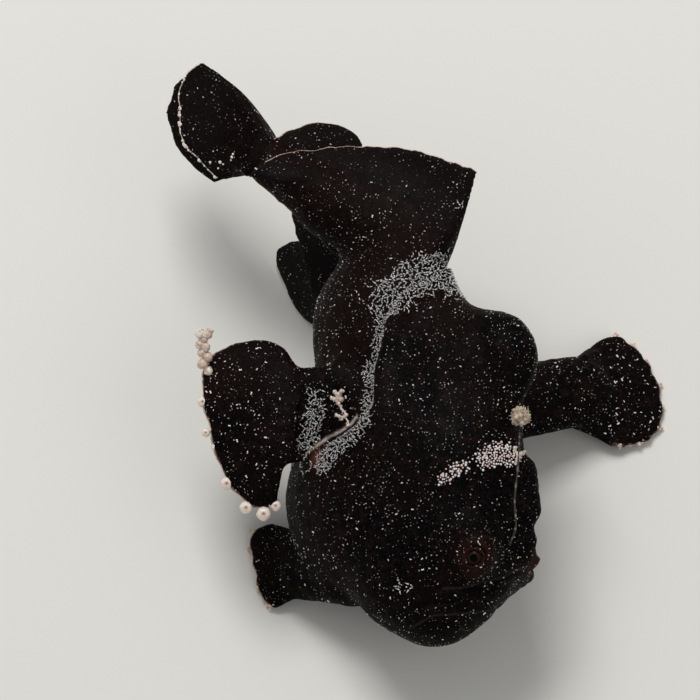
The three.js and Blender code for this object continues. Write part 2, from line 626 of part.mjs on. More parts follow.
addPelvic('left', {
  hip: seen(4.6, -18.6, 3.6),
  sole: seen(6.4, -19.6, 1.1),
  radii: [1.6, 1.5],
  foot: {
    root: rail([5.4, -20.4, 1.5], [6.0, -19.6, 1.5], [6.0, -18.6, 1.5]),
    margin: rail([7.0, -21.2, 0.3], [8.4, -21.2, 0.3], [9.6, -20.3, 0.3], [9.8, -18.9, 0.3], [8.8, -17.6, 0.3]),
    rays: 5,
    perRay: 4,
    half: HAND_HALF,
    tipHalf: HAND_TIP_HALF,
    web: 0.16
  }
})

// The origin is on the floor under the middle of the whole fish.
const whole = new THREE.Box3().setFromObject(frogfish)
const centre = whole.getCenter(new THREE.Vector3())
frogfish.position.set(-centre.x, -centre.y, 0)

export default frogfish
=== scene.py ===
# A young black frogfish at life size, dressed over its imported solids.
# Lengths in the code are millimetres in the pose's own frame; meshes are made in metres.
import math

import bpy
import numpy as np
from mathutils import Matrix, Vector
from mathutils.bvhtree import BVHTree
from mathutils.kdtree import KDTree


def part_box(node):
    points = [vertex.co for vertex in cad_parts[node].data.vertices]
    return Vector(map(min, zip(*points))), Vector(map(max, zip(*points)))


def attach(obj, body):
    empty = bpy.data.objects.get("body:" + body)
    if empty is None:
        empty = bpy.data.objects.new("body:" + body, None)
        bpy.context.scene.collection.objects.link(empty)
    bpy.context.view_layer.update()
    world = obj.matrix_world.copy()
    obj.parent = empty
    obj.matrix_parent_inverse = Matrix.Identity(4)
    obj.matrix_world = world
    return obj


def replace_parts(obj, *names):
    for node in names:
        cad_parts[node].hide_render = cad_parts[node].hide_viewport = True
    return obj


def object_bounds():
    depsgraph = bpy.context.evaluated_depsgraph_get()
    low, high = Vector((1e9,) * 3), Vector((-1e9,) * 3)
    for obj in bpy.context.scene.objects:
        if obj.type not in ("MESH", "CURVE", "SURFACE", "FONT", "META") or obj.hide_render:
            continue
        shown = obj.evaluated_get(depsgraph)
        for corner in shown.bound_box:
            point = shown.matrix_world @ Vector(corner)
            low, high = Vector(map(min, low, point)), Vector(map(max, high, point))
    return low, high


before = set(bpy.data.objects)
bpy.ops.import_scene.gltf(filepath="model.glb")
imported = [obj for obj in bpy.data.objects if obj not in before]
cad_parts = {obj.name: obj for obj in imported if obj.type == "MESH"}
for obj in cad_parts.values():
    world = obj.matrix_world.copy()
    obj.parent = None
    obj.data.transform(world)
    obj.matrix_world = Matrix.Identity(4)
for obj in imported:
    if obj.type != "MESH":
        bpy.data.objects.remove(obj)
CAD_BOX = [list(corner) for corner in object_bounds()]

MM = 0.001
SEED = 11

# The pose, as in the solids: the view's tilt, the heading and the lean to the left.
VIEW_TILT = math.radians(66)
HEADING = math.radians(17)
ROLL = math.radians(53)
FORWARD = np.array([math.sin(HEADING), -math.cos(HEADING), 0])
UP = np.array([math.sin(ROLL) * math.cos(HEADING), math.sin(ROLL) * math.sin(HEADING), math.cos(ROLL)])
RIGHT = np.cross(FORWARD, UP)
VIEWWARD = np.array([0, -math.cos(VIEW_TILT), math.sin(VIEW_TILT)])
UPWARD = np.array([0.0, 0, 1])

# How far the skin lies inside the solids, which leaves room for the prickles.
COAT = 0.2
# The steps of the flesh's net and of the skin's own surface.
NET_STEP = 0.26
VOXEL = 0.15
# The photograph's frame, and how many of its pixels show as one mm.
FRAME_PIXELS = 700
PIXELS_PER_MM = 13


def seen(right, up, height):
    """A place by how it shows in the main view, with its height over the floor."""
    return np.array([right, (up - height * math.cos(VIEW_TILT)) / math.sin(VIEW_TILT), height])


def shown_place(points):
    """Where places show in the main view, in mm right of and above its middle."""
    return np.stack([points[:, 0], points @ np.cross(VIEWWARD, [1, 0, 0])], 1)


def px(x, y):
    """A place of the photograph's frame in mm right of and above its middle."""
    return (x - FRAME_PIXELS / 2) / PIXELS_PER_MM, (FRAME_PIXELS / 2 - y) / PIXELS_PER_MM


BODY_HEIGHT = 9.4
BODY_MIDDLE = seen(3.85, -7.69, BODY_HEIGHT)


def fish(forward, up, right):
    """A place in the body's own directions, from the middle of the body."""
    return BODY_MIDDLE + forward * FORWARD + up * UP + right * RIGHT


EYES = {"right": fish(12.9, 5.6, 4.1), "left": fish(12.5, 4.6, -4.0)}
EYE_RADIUS = 0.8
eye_low, eye_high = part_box("eye_right")
SHIFT = np.array((eye_low + eye_high) / 2) / MM - EYES["right"]
BOX_LOW, BOX_HIGH = (np.array(corner) / MM - SHIFT for corner in CAD_BOX)


def unit(vector):
    vector = np.asarray(vector, float)
    return vector / np.maximum(np.linalg.norm(vector, axis=-1, keepdims=True), 1e-12)


def smoothstep(low, high, value):
    share = np.clip((value - low) / (high - low), 0, 1)
    return share * share * (3 - 2 * share)


def bump(distance, width):
    return np.exp(-(distance / width) ** 2)


# The whole numbers that turn a cell's place into its own value between -1 and 1.
HASH_STEPS = np.array([73856093, 19349663, 83492791])
HASH_SEED = 2654435761
HASH_MIX = 1274126177
LOW_BITS = 0xFFFFFFFF


def noise(points, size, seed=0):
    """Smooth value noise, the same on every run."""
    place = np.asarray(points) / size + 100.0 + seed * 17.3
    cell = np.floor(place).astype(np.int64)
    part = place - cell
    part = part * part * (3 - 2 * part)
    total = np.zeros(len(place))
    for corner in range(8):
        step = np.array([corner & 1, corner >> 1 & 1, corner >> 2])
        at = cell + step
        mixed = (np.bitwise_xor.reduce(at * HASH_STEPS, axis=1) ^ seed * HASH_SEED) & LOW_BITS
        mixed = (mixed ^ mixed >> 13) * HASH_MIX & LOW_BITS
        value = (mixed ^ mixed >> 16 & 0xFFFF) % 65536 / 32768 - 1
        weight = np.prod(np.where(step, part, 1 - part), axis=1)
        total += weight * value
    return total


def fractal(points, size, seed=0, octaves=3):
    return sum(noise(points, size / 2 ** k, seed + k) / 2 ** k for k in range(octaves)) / 1.75


# Flesh is a set of distance fields that run smoothly into one another.
def egg(middle, forward, up, right):
    radii = np.array([forward, up, right])
    axes = np.stack([FORWARD, UP, RIGHT])

    def field(points):
        along = (points - middle) @ axes.T
        inner = np.linalg.norm(along / radii, axis=-1)
        outer = np.linalg.norm(along / radii ** 2, axis=-1)
        return inner * (inner - 1) / np.maximum(outer, 1e-9)
    return field


def limb(start, end, start_radius, end_radius, flat_along=RIGHT, flatness=1.0):
    flat = unit(flat_along)

    def squash(vector):
        return vector + (vector @ flat)[..., None] * (1 / flatness - 1) * flat
    axis = squash((end - start)[None])[0]
    length = np.linalg.norm(axis)
    axis = axis / length
    lean = (start_radius - end_radius) / length
    side = math.sqrt(max(0.0, 1 - lean * lean))

    def field(points):
        away = squash(points - start)
        along = away @ axis
        reach = (away ** 2).sum(-1)
        across = np.sqrt(np.maximum(0, reach - along ** 2))
        turn = along * side - across * lean
        first = np.sqrt(reach) - start_radius
        last = np.hypot(across, along - length) - end_radius
        between = across * side + along * lean - start_radius
        return np.where(turn < 0, first, np.where(turn > length * side, last, between)) * flatness ** 0.5
    return field


def smooth_min(a, b, softness):
    share = np.maximum(0, softness - np.abs(a - b)) / softness
    return np.minimum(a, b) - share * share * softness / 4


def blend(fields, softness):
    def field(points):
        total = fields[0](points)
        for part in fields[1:]:
            total = smooth_min(total, part(points), softness)
        return total
    return field


def ring(middle, axis, radius, tube):
    def field(points):
        away = points - middle
        height = away @ axis
        around = np.sqrt(np.maximum(0, (away ** 2).sum(-1) - height ** 2)) - radius
        return np.hypot(around, height) - tube
    return field


def chain(places, radius):
    links = [limb(a, b, radius, radius) for a, b in zip(places, places[1:])]
    return blend(links, 0.3)


body = blend([
    egg(fish(2.6, -0.5, 0), 9.4, 10.7, 6.2),
    egg(fish(9.4, 1.4, 0), 6.3, 6.2, 5.0),
    egg(fish(13.6, -1.0, 0.6), 2.9, 3.3, 3.4),
    egg(fish(10.0, -2.2, 1.0), 4.6, 4.6, 4.0),
    egg(fish(12.2, 5.2, 3.2), 2.0, 1.9, 1.4),
    egg(fish(11.7, 4.2, -3.0), 1.9, 1.8, 1.4),
    limb(fish(9.6, 7.1, -1.1), fish(12.0, 6.5, -1.4), 1.2, 1.1),
    limb(fish(-3, 0.9, 0), fish(-10, 2.3, 0), 7.4, 5.8, RIGHT, 0.68),
    limb(fish(-4, 5.7, 0), fish(-9.6, 4.6, 0), 4.9, 4.3, RIGHT, 0.68),
    limb(fish(-10, 2.3, 0), fish(-15, 5.5, 1), 5.8, 2.7, RIGHT, 0.75),
    limb(fish(-15, 5.5, 1), fish(-19.3, 3, 3.2), 2.7, 2.5, RIGHT, 0.85),
    limb(fish(-19.3, 3, 3.2), fish(-23.9, 0.6, 6.2), 2.5, 2.1, RIGHT, 0.7),
], 1.6)


def skin_along(inside, direction, lift=0.0):
    """Where a straight way out from inside the flesh reaches a height over the body's surface."""
    low, high = 0.0, 16.0
    for _ in range(30):
        middle = (low + high) / 2
        if body((inside + direction * middle)[None])[0] < lift:
            low = middle
        else:
            high = middle
    return inside + direction * low


third_spine = blend([
    limb(fish(-2.6, 6.5, 0), fish(-2.7, 10.8, -0.2), 3.8, 3.4, RIGHT, 0.66),
    limb(fish(-1.4, 6.5, 0), fish(-1.6, 10.8, -0.1), 3.4, 2.7, RIGHT, 0.66),
], 1)
second_spine = blend([
    limb(fish(9.4, 8.5, -1.0), fish(6.4, 9.0, -1.0), 1.15, 1.35),
    egg(fish(11.5, 7.75, -1.2), 0.5, 0.55, 0.5),
], 0.3)
DORSAL_FOOT = [fish(-11.6, 8.0, 0), fish(-15, 8.0, 0.7), fish(-19.6, 5.6, 2.9), fish(-22.9, 2.9, 5.2)]
REAR_FOOT = [fish(-19.3, 6.8, 2.6), fish(-20.6, 6.2, 2.1), fish(-21.8, 5.1, 2.0), fish(-23.1, 3.9, 3.1)]
ANAL_FOOT = [fish(-9.9, -3.0, -1.3), fish(-12.6, -0.9, -1.2), fish(-15.2, 1.6, -0.2), fish(-18.0, 0.8, 1.2)]
ARMS = {
    "right": (seen(-1.0, -4.6, 11.4), seen(-4.3, -4.6, 11.9), 3.8, 3.5, VIEWWARD, 0.36),
    "left": (seen(9.6, -4.5, 5.5), seen(17.4, -3.2, 2.8), 3.6, 3.2, UPWARD, 0.45),
}
LEGS = {
    "right": (seen(-0.2, -17.6, 4.8), seen(-3.4, -17.4, 2.0), 2.3, 2.2, UPWARD, 0.6),
    "left": (seen(4.6, -18.6, 3.6), seen(6.4, -19.6, 1.1), 1.6, 1.5, UPWARD, 0.6),
}
EYE_OUT = {
    "right": unit(0.45 * FORWARD + 0.25 * UP + 0.85 * RIGHT),
    "left": unit(0.45 * FORWARD + 0.25 * UP - 0.85 * RIGHT),
}
# Each eye's lid: how far out its ring sits, and how thick the ring is.
LIDS = {"right": (0.56, 0.48), "left": (0.24, 0.42)}
LID_RADIUS = 0.72
NOSTRIL = (fish(11.5, 3.6, 2.0), fish(14.4, 4.9, 3.9))
LEFT_NOSTRIL = [fish(12.7, 5.4, -2.5), fish(12.7, 6.6, -2.6), fish(12.2, 7.35, -2.6)]


def nostril_fields():
    """The two nostril tubes, and the bores in them."""
    inside, mouth_of_tube = NOSTRIL
    out = unit(mouth_of_tube - inside)
    foot = skin_along(inside, out)
    low, middle, top = LEFT_NOSTRIL
    tubes = [limb(foot - out * 0.5, foot + out * 0.4, 0.62, 0.5),
             blend([limb(low, middle, 0.75, 0.6), limb(middle, top, 0.6, 0.48)], 0.2)]
    tip = unit(top - middle)
    bores = [limb(foot + out * 0.1, foot + out * 1.3, 0.24, 0.3), limb(top, top + tip, 0.22, 0.28)]
    return tubes, bores


nostril_tubes, nostril_bores = nostril_fields()
GROWN = [
    (third_spine, 3.2), (second_spine, 1.1),
    (chain(DORSAL_FOOT, 0.75), 1.0), (chain(REAR_FOOT, 0.5), 0.8), (chain(ANAL_FOOT, 0.9), 0.5),
    (limb(*ARMS["right"]), 1.2), (limb(*ARMS["left"]), 1.2),
    (limb(*LEGS["right"]), 1.0), (limb(*LEGS["left"]), 1.0),
    (nostril_tubes[0], 0.5), (nostril_tubes[1], 0.5),
] + [(ring(EYES[side] + EYE_OUT[side] * out, EYE_OUT[side], LID_RADIUS, thick), 0.5)
     for side, (out, thick) in LIDS.items()]
EYE_GAP = 0.02


def flesh(points):
    total = body(points)
    for part, softness in GROWN:
        total = smooth_min(total, part(points), softness)
    for bore in nostril_bores:
        total = np.maximum(total, -bore(points))
    for side in EYES:
        socket = np.linalg.norm(points - EYES[side], axis=-1) - EYE_RADIUS - EYE_GAP + COAT
        total = -smooth_min(-total, socket, 0.15)
    return total


def net(field, low, high, step, level):
    """The closed surface where a field equals a level, as points and four-sided faces."""
    axes = [np.arange(a, b + step, step) for a, b in zip(low, high)]
    grid = np.stack(np.meshgrid(*axes, indexing="ij"), -1)
    value = np.stack([field(layer.reshape(-1, 3)).reshape(layer.shape[:2]) for layer in grid]) - level
    cells = np.array(value.shape) - 1
    total = np.zeros((*cells, 3))
    hits = np.zeros(cells)

    def part(offset):
        return value[tuple(slice(o, o + n) for o, n in zip(offset, cells))]
    for axis in range(3):
        for turn in range(4):
            offset = [0, 0, 0]
            offset[(axis + 1) % 3] = turn & 1
            offset[(axis + 2) % 3] = turn >> 1
            start = part(offset)
            far = list(offset)
            far[axis] += 1
            end = part(far)
            cross = (start < 0) != (end < 0)
            share = np.where(cross, start / np.where(cross, start - end, 1), 0)
            for index in range(3):
                total[..., index] += share if index == axis else cross * offset[index]
            hits += cross
    used = hits > 0
    numbers = np.full(cells, -1)
    numbers[used] = np.arange(used.sum())
    points = np.array(low) + (np.argwhere(used) + total[used] / hits[used][:, None]) * step
    faces = []
    for axis in range(3):
        other, third = (axis + 1) % 3, (axis + 2) % 3
        near = np.take(value, range(value.shape[axis] - 1), axis) < 0
        far = np.take(value, range(1, value.shape[axis]), axis) < 0
        at = np.argwhere(near != far)
        inside = near[near != far]
        corners = []
        for a, b in ((-1, -1), (0, -1), (0, 0), (-1, 0)):
            cell = at.copy()
            cell[:, other] += a
            cell[:, third] += b
            corners.append(numbers[tuple(cell.T)])
        quads = np.stack(corners, 1)
        quads[~inside] = quads[~inside][:, ::-1]
        faces.append(quads)
    return points, np.concatenate(faces)


def rail(*places):
    """A smooth line through a few places, as a function of 0 to 1."""
    points = np.array([place if isinstance(place, np.ndarray) else seen(*place) for place in places])
    padded = np.vstack([2 * points[0] - points[1], points, 2 * points[-1] - points[-2]])

    def at(share):
        share = np.clip(np.asarray(share, float), 0, 1) * (len(points) - 1)
        index = np.minimum(share.astype(int), len(points) - 2)
        w = (share - index)[..., None]
        p0, p1, p2, p3 = (padded[index + k] for k in range(4))
        d0, d1, d2 = (np.linalg.norm(b - a, axis=-1, keepdims=True) ** 0.5 + 1e-9
                      for a, b in ((p0, p1), (p1, p2), (p2, p3)))
        m1 = ((p1 - p0) / d0 - (p2 - p0) / (d0 + d1) + (p2 - p1) / d1) * d1
        m2 = ((p2 - p1) / d1 - (p3 - p1) / (d1 + d2) + (p3 - p2) / d2) * d1
        return (p1 * (2 * w ** 3 - 3 * w ** 2 + 1) + m1 * (w ** 3 - 2 * w ** 2 + w)
                + p2 * (3 * w ** 2 - 2 * w ** 3) + m2 * (w ** 3 - w ** 2))
    return at


# Each fin: its root and margin rails, its number of rays, its bow, how far its skin stops short
# of the ray tips at the first and last ray (web), how much it thickens at the root and over what
# share of its reach (flare), how high its rays stand (ridge), and half its thickness.
BLADE = {"half": 0.22, "tip_half": 0.15}
HAND = {"half": 0.34, "tip_half": 0.24}
FINS = {
    "dorsal": dict(
        root=rail(fish(-9.8, 5.6, 0), fish(-15, 5.6, 1), fish(-19.3, 3.4, 3.1), fish(-22.8, 1.4, 5.5)),
        margin=rail((9.8, 13.8, 18.4), (7.6, 14.6, 17.6), (4.4, 15.5, 16.6), (0.6, 15.7, 15.9),
                    (-2.7, 15.5, 15.8), (-6.2, 14.6, 16.2), (-7.9, 13.2, 16.0)),
        rays=12, bow=(0.5, -0.3, 0.3), web=(0.012, 0.012), flare=(2.1, 0.9), ridge=0.05, **BLADE),
    "dorsal_rear": dict(
        root=rail(fish(-15.0, 5.2, 0.9), fish(-19.3, 3.2, 2.9), fish(-22.8, 1.2, 5.2)),
        margin=rail((0.9, 15.4, 13.2), (0.4, 16.7, 13.1), (-2.0, 17.6, 13.5), (-4.2, 17.1, 14.7),
                    (-5.6, 16.4, 15.8), (-6.8, 14.8, 16.2), (-7.9, 13.3, 16.1)),
        rays=6, bow=(0.2, 0, 0.5), web=(0.012, 0.012), flare=(0.5, 0.6), ridge=0.04, **BLADE),
    "anal": dict(
        root=rail(fish(-10.6, 0.8, -1.3), fish(-15, 3.9, -0.2), fish(-18.8, 2.9, 2.2)),
        margin=rail((-2.5, 2.6, 6.4), (-3.2, 5.0, 6.5), (-3.7, 7.0, 6.5), (-4.1, 8.6, 7.0),
                    (-4.6, 10.9, 7.9)),
        rays=7, bow=(0, 0, 0), web=(0.02, 0.02), flare=(0.2, 0.4), ridge=0.06, **BLADE),
    "anal_far": dict(
        root=rail(fish(-10.8, -0.8, -1.2), fish(-13, 0.8, -1.0), fish(-15.8, 2.2, -0.2)),
        margin=rail((-2.0, 1.6, 0.5), (-3.8, 2.7, 0.1), (-5.1, 5.1, 0.1), (-5.8, 7.4, 0.8),
                    (-5.1, 8.2, 2.0), (-4.1, 8.5, 3.0)),
        rays=5, bow=(0, 0, 0), web=(0.015, 0.015), flare=(0.8, 0.5), ridge=0.06, **BLADE),
    "tail_near": dict(
        root=rail((-7.9, 13.3, 13.6), (-6.8, 14.8, 14.7), (-5.8, 16.3, 15.6)),
        margin=rail((-10.3, 13.2, 12.8), (-11.9, 14.9, 13.1), (-12.9, 16.0, 13.4), (-13.2, 18.2, 13.9),
                    (-13.0, 20.8, 14.6), (-11.5, 22.3, 15.6)),
        rays=5, bow=(0.35, 0.35, 0.5), web=(0.015, 0.015), flare=(1.0, 0.7), ridge=0.03, **BLADE),
    "tail_far": dict(
        root=rail((-6.0, 15.4, 14.2), (-6.6, 14.6, 13.5), (-7.6, 13.6, 12.6)),
        margin=rail((-11.6, 21.8, 14.2), (-13.3, 20.9, 11.1), (-14.2, 18.4, 9.4), (-13.2, 15.3, 8.8),
                    (-10.6, 12.9, 9.8)),
        rays=5, bow=(0, 0, 0), web=(0.02, 0.02), flare=(0.8, 0.5), ridge=0.05, **BLADE),
    "hand_right": dict(
        root=rail((-3.8, -1.6, 12.2), (-4.1, -4.9, 12.2), (-5.0, -8.3, 11.4)),
        margin=rail((-5.0, -0.1, 12.5), (-6.6, 0.7, 12.4), (-8.2, 0.6, 12.2), (-9.7, 0.1, 12.0),
                    (-11.0, -0.9, 11.6), (-11.4, -3.2, 11.0), (-10.9, -5.8, 10.6), (-9.9, -9.2, 10.2),
                    (-8.4, -11.4, 10.0), (-6.9, -12.2, 10.0), (-5.6, -11.7, 10.2)),
        rays=10, bow=(0, -0.2, 0.6), web=(0.0, 0.05), flare=(0.9, 0.7), ridge=0.1, **HAND),
    "hand_left": dict(
        root=rail((17.0, -0.9, 2.9), (17.2, -3.3, 2.8), (17.6, -5.7, 2.5)),
        margin=rail((19.2, 0.7, 1.2), (20.7, 1.1, 0.6), (22.3, 0.0, 0.3), (23.4, -1.5, 0.3),
                    (24.2, -3.8, 0.3), (24.1, -5.9, 0.3), (23.1, -7.0, 0.4), (21.6, -7.4, 0.7),
                    (20.2, -7.4, 1.2)),
        rays=10, bow=(0, 0, -0.2), web=(0.035, 0.035), flare=(0.9, 0.7), ridge=0.1, **HAND),
    "foot_right": dict(
        root=rail((-2.4, -14.4, 3.2), (-2.4, -16.3, 3.0), (-2.2, -18.2, 2.4)),
        margin=rail((-6.2, -13.3, 1.6), (-7.6, -14.2, 0.6), (-7.6, -15.9, 0.3), (-7.3, -17.3, 0.3),
                    (-7.0, -18.8, 0.3), (-5.9, -20.0, 0.5)),
        rays=5, bow=(0, 0, 0), web=(0.03, 0.03), flare=(0.9, 0.7), ridge=0.12, **HAND),
    "foot_left": dict(
        root=rail((5.4, -20.4, 1.5), (6.0, -19.6, 1.5), (6.0, -18.6, 1.5)),
        margin=rail((7.0, -21.2, 0.3), (8.4, -21.2, 0.3), (9.6, -20.3, 0.3), (9.8, -18.9, 0.3),
                    (8.8, -17.6, 0.3)),
        rays=5, bow=(0, 0, 0), web=(0.03, 0.03), flare=(0.9, 0.7), ridge=0.12, **HAND),
}
FIN_NAMES = list(FINS)
HAND_NUMBERS = [FIN_NAMES.index(name) for name in ("hand_right", "hand_left")]
FOOT_NUMBERS = [FIN_NAMES.index(name) for name in ("foot_right", "foot_left")]
# A share of a fin's reach that is small enough to find its slope, and a distance off every fin.
SMALL = 0.02
FAR = 9.0


def rayness(across, rays):
    return (1 - np.cos(across * rays * 2 * math.pi)) / 2


def fin_edge(fin, across):
    """How far out the fin's edge is: at the tips of the rays, and a little short between them."""
    first, last = fin["web"]
    return 1 - (first + (last - first) * across) * (1 - rayness(across, fin["rays"]))


def fin_middle(fin, across, out):
    way = fin["root"](across) * (1 - out)[..., None] + fin["margin"](across) * out[..., None]
    return way + np.array(fin["bow"]) * np.sin(math.pi * out)[..., None]


def fin_grid(fin, per_ray=10, steps=34):
    """Places on a fin's middle surface, with their share across and out, and the way off it."""
    across, step = np.meshgrid(np.linspace(0, 1, fin["rays"] * per_ray + 1), np.linspace(0, 1, steps + 1),
                               indexing="ij")
    out = step * fin_edge(fin, across)
    middle = fin_middle(fin, across, out)
    low_across, high_across = np.maximum(0, across - SMALL), np.minimum(1, across + SMALL)
    low_out, high_out = np.maximum(0, out - SMALL), np.minimum(1, out + SMALL)
    side = fin_middle(fin, high_across, out) - fin_middle(fin, low_across, out)
    down = fin_middle(fin, across, high_out) - fin_middle(fin, across, low_out)
    return middle, across, out, unit(np.cross(side, down))


def fin_sheet(fin):
    middle, across, out, normal = fin_grid(fin)
    ray = rayness(across, fin["rays"])
    half = fin["half"] * (1 - out ** 2) + fin["tip_half"] * out ** 2
    edge = np.minimum(1, np.minimum(across, 1 - across) * 30) ** 0.5
    end = np.sqrt(np.clip((1 - out) * 14, 0, 1)) * 0.5 + 0.5
    flare, reach = fin["flare"]
    half = half + flare * (1 - smoothstep(0, reach, out))
    thick = ((half + fin["ridge"] * ray * (1 - 0.5 * out)) * (0.35 + 0.65 * edge) * end)[..., None]
    cup = (0.8 * fin["ridge"] * (1 - ray) * np.sin(math.pi * np.clip(out, 0, 1)))[..., None]
    upper = middle + normal * (thick - cup)
    lower = middle - normal * (thick + cup)
    rows, columns = middle.shape[:2]
    points = np.concatenate([upper.reshape(-1, 3), lower.reshape(-1, 3)])
    layer = rows * columns
    number = np.arange(layer).reshape(rows, columns)
    top = np.stack([number[:-1, :-1], number[1:, :-1], number[1:, 1:], number[:-1, 1:]], -1).reshape(-1, 4)
    bottom = top[:, ::-1] + layer
    edge_loop = np.concatenate([number[:-1, 0], number[-1, :-1], number[:0:-1, -1], number[0, :0:-1]])
    after = np.roll(edge_loop, -1)
    rim = np.stack([after, edge_loop, edge_loop + layer, after + layer], 1)
    return points, np.concatenate([top, bottom, rim])


def new_mesh(name, points, faces):
    mesh = bpy.data.meshes.new(name)
    mesh.vertices.add(len(points))
    mesh.vertices.foreach_set("co", np.asarray(points, np.float32).ravel())
    mesh.loops.add(faces.size)
    mesh.loops.foreach_set("vertex_index", np.asarray(faces, np.int32).ravel())
    mesh.polygons.add(len(faces))
    mesh.polygons.foreach_set("loop_start", np.arange(0, faces.size, faces.shape[1], dtype=np.int32))
    mesh.update(calc_edges=True)
    mesh.polygons.foreach_set("use_smooth", np.ones(len(faces), bool))
    return mesh


def new_piece(name, points, faces, material, attributes=None):
    """A visible piece from places in mm, riding on the one body."""
    mesh = new_mesh(name, (np.asarray(points) + SHIFT) * MM, faces)
    for key, values in (attributes or {}).items():
        layer = mesh.attributes.new(key, "FLOAT", "POINT")
        layer.data.foreach_set("value", np.asarray(values, np.float32))
    piece = bpy.data.objects.new(name, mesh)
    bpy.context.scene.collection.objects.link(piece)
    mesh.materials.append(material)
    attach(piece, "root")
    return piece


def read_mesh(mesh):
    points = np.empty(len(mesh.vertices) * 3)
    mesh.vertices.foreach_get("co", points)
    faces = np.empty(len(mesh.loops), np.int32)
    mesh.loops.foreach_get("vertex_index", faces)
    return points.reshape(-1, 3), faces.reshape(-1, 4)


def one_surface(parts, voxel):
    """All closed parts as one closed surface, remade on a fine even net."""
    points, faces, start = [], [], 0
    for part_points, part_faces in parts:
        points.append(part_points)
        faces.append(part_faces + start)
        start += len(part_points)
    holder = bpy.data.objects.new("rough", new_mesh("rough", np.concatenate(points), np.concatenate(faces)))
    bpy.context.scene.collection.objects.link(holder)
    modifier = holder.modifiers.new("remesh", "REMESH")
    modifier.mode = "VOXEL"
    modifier.voxel_size = voxel
    graph = bpy.context.evaluated_depsgraph_get()
    mesh = bpy.data.meshes.new_from_object(holder.evaluated_get(graph))
    result = read_mesh(mesh)
    bpy.data.objects.remove(holder)
    return result


def edges_of(faces):
    pairs = np.concatenate([faces[:, [k, (k + 1) % 4]] for k in range(4)])
    pairs.sort(axis=1)
    return np.unique(pairs, axis=0)


def relax(points, edges, weight, rounds):
    """Draws each place towards the middle of its neighbours, by its own weight."""
    count = np.bincount(edges.ravel(), minlength=len(points))[:, None]
    for _ in range(rounds):
        total = np.stack([
            np.bincount(edges[:, 0], points[edges[:, 1], axis], len(points))
            + np.bincount(edges[:, 1], points[edges[:, 0], axis], len(points)) for axis in range(3)], 1)
        points = points + (total / count - points) * np.asarray(weight).reshape(-1, 1)
    return points


def normals_of(points, faces):
    across = points[faces[:, 2]] - points[faces[:, 0]]
    along = points[faces[:, 3]] - points[faces[:, 1]]
    face_normals = np.cross(across, along)
    total = np.zeros_like(points)
    for corner in range(4):
        for axis in range(3):
            total[:, axis] += np.bincount(faces[:, corner], face_normals[:, axis], len(points))
    return unit(total)


def tree_of(places):
    tree = KDTree(len(places))
    for index, place in enumerate(places):
        tree.insert(place, index)
    tree.balance()
    return tree


def fin_places(points, fleshy):
    """For each place off the flesh, its fin, its share across and out on it, and how near it is."""
    tree_places, rows = [], []
    for number, name in enumerate(FIN_NAMES):
        middle, across, out, _ = fin_grid(FINS[name], per_ray=6, steps=24)
        tree_places.append(middle.reshape(-1, 3))
        rows.append(np.stack([np.full(across.size, number), across.ravel(), out.ravel()], 1))
    tree_places = np.concatenate(tree_places)
    rows = np.concatenate(rows)
    tree = tree_of(tree_places)
    number = np.full(len(points), -1)
    across = np.zeros(len(points))
    out = np.zeros(len(points))
    away = np.full(len(points), FAR)
    for index in np.flatnonzero(~fleshy):
        _, found, distance = tree.find(points[index])
        if distance < 1.2:
            number[index], across[index], out[index] = rows[found]
            away[index] = distance
    return number, across, out, away


MOUTH_POINT = fish(15.5, 4.9, 0)
MOUTH_AXIS = 0.966 * FORWARD - 0.259 * UP
MOUTH_MIDDLE = fish(14.3, 0.8, 0)


def mouth_relief(points):
    """The groove of the gape with a soft lip on either side, fading at its corners."""
    above = (points - MOUTH_POINT) @ MOUTH_AXIS
    away = points - MOUTH_MIDDLE
    over = unit(UP - (UP @ MOUTH_AXIS) * MOUTH_AXIS)
    turn = np.arctan2(away @ RIGHT, away @ over)
    fade = smoothstep(math.radians(142), math.radians(124), np.abs(turn))
    near = bump(np.maximum(0, np.abs(above) - 2), 0.5) * (np.linalg.norm(away, axis=1) < 7)
    groove = -0.16 * bump(above, 0.14)
    lips = 0.06 * bump(np.abs(above) - 0.5, 0.3)
    return (groove + lips) * fade * near


def nearest_on_line(points, line):
    """Distance from each place to a line through places, and the share along it."""
    best = np.full(len(points), 1e9)
    share = np.zeros(len(points))
    lengths = np.concatenate([[0], np.cumsum(np.linalg.norm(np.diff(line, axis=0), axis=1))])
    for index in range(len(line) - 1):
        start, way = line[index], line[index + 1] - line[index]
        along = np.clip((points - start) @ way / (way @ way), 0, 1)
        distance = np.linalg.norm(points - start - along[:, None] * way, axis=1)
        closer = distance < best
        best[closer] = distance[closer]
        span = lengths[index + 1] - lengths[index]
        share[closer] = (lengths[index] + along[closer] * span) / lengths[-1]
    return best, share


def side_of(points, line):
    """Positive on the left of a line that runs down the main view."""
    flat, way = shown_place(points), shown_place(line)
    best = np.full(len(points), 1e9)
    side = np.ones(len(points))
    for start, end in zip(way, way[1:]):
        run = end - start
        along = np.clip((flat - start) @ run / (run @ run), 0, 1)
        off = flat - start - along[:, None] * run
        distance = np.linalg.norm(off, axis=1)
        closer = distance < best
        best[closer] = distance[closer]
        side[closer] = (off[:, 0] * run[1] - off[:, 1] * run[0])[closer]
    return np.sign(side)


def surface_tree(points, faces):
    return BVHTree.FromPolygons([Vector(p) for p in points], faces.tolist())


def caster(points, faces):
    tree = surface_tree(points, faces)

    def cast(right, up):
        """The skin's place that the main view shows there."""
        start = seen(right, up, 0) + VIEWWARD * 60
        hit, _, _, _ = tree.ray_cast(Vector(start), Vector(-VIEWWARD))
        return np.array(hit) if hit is not None else None
    return cast


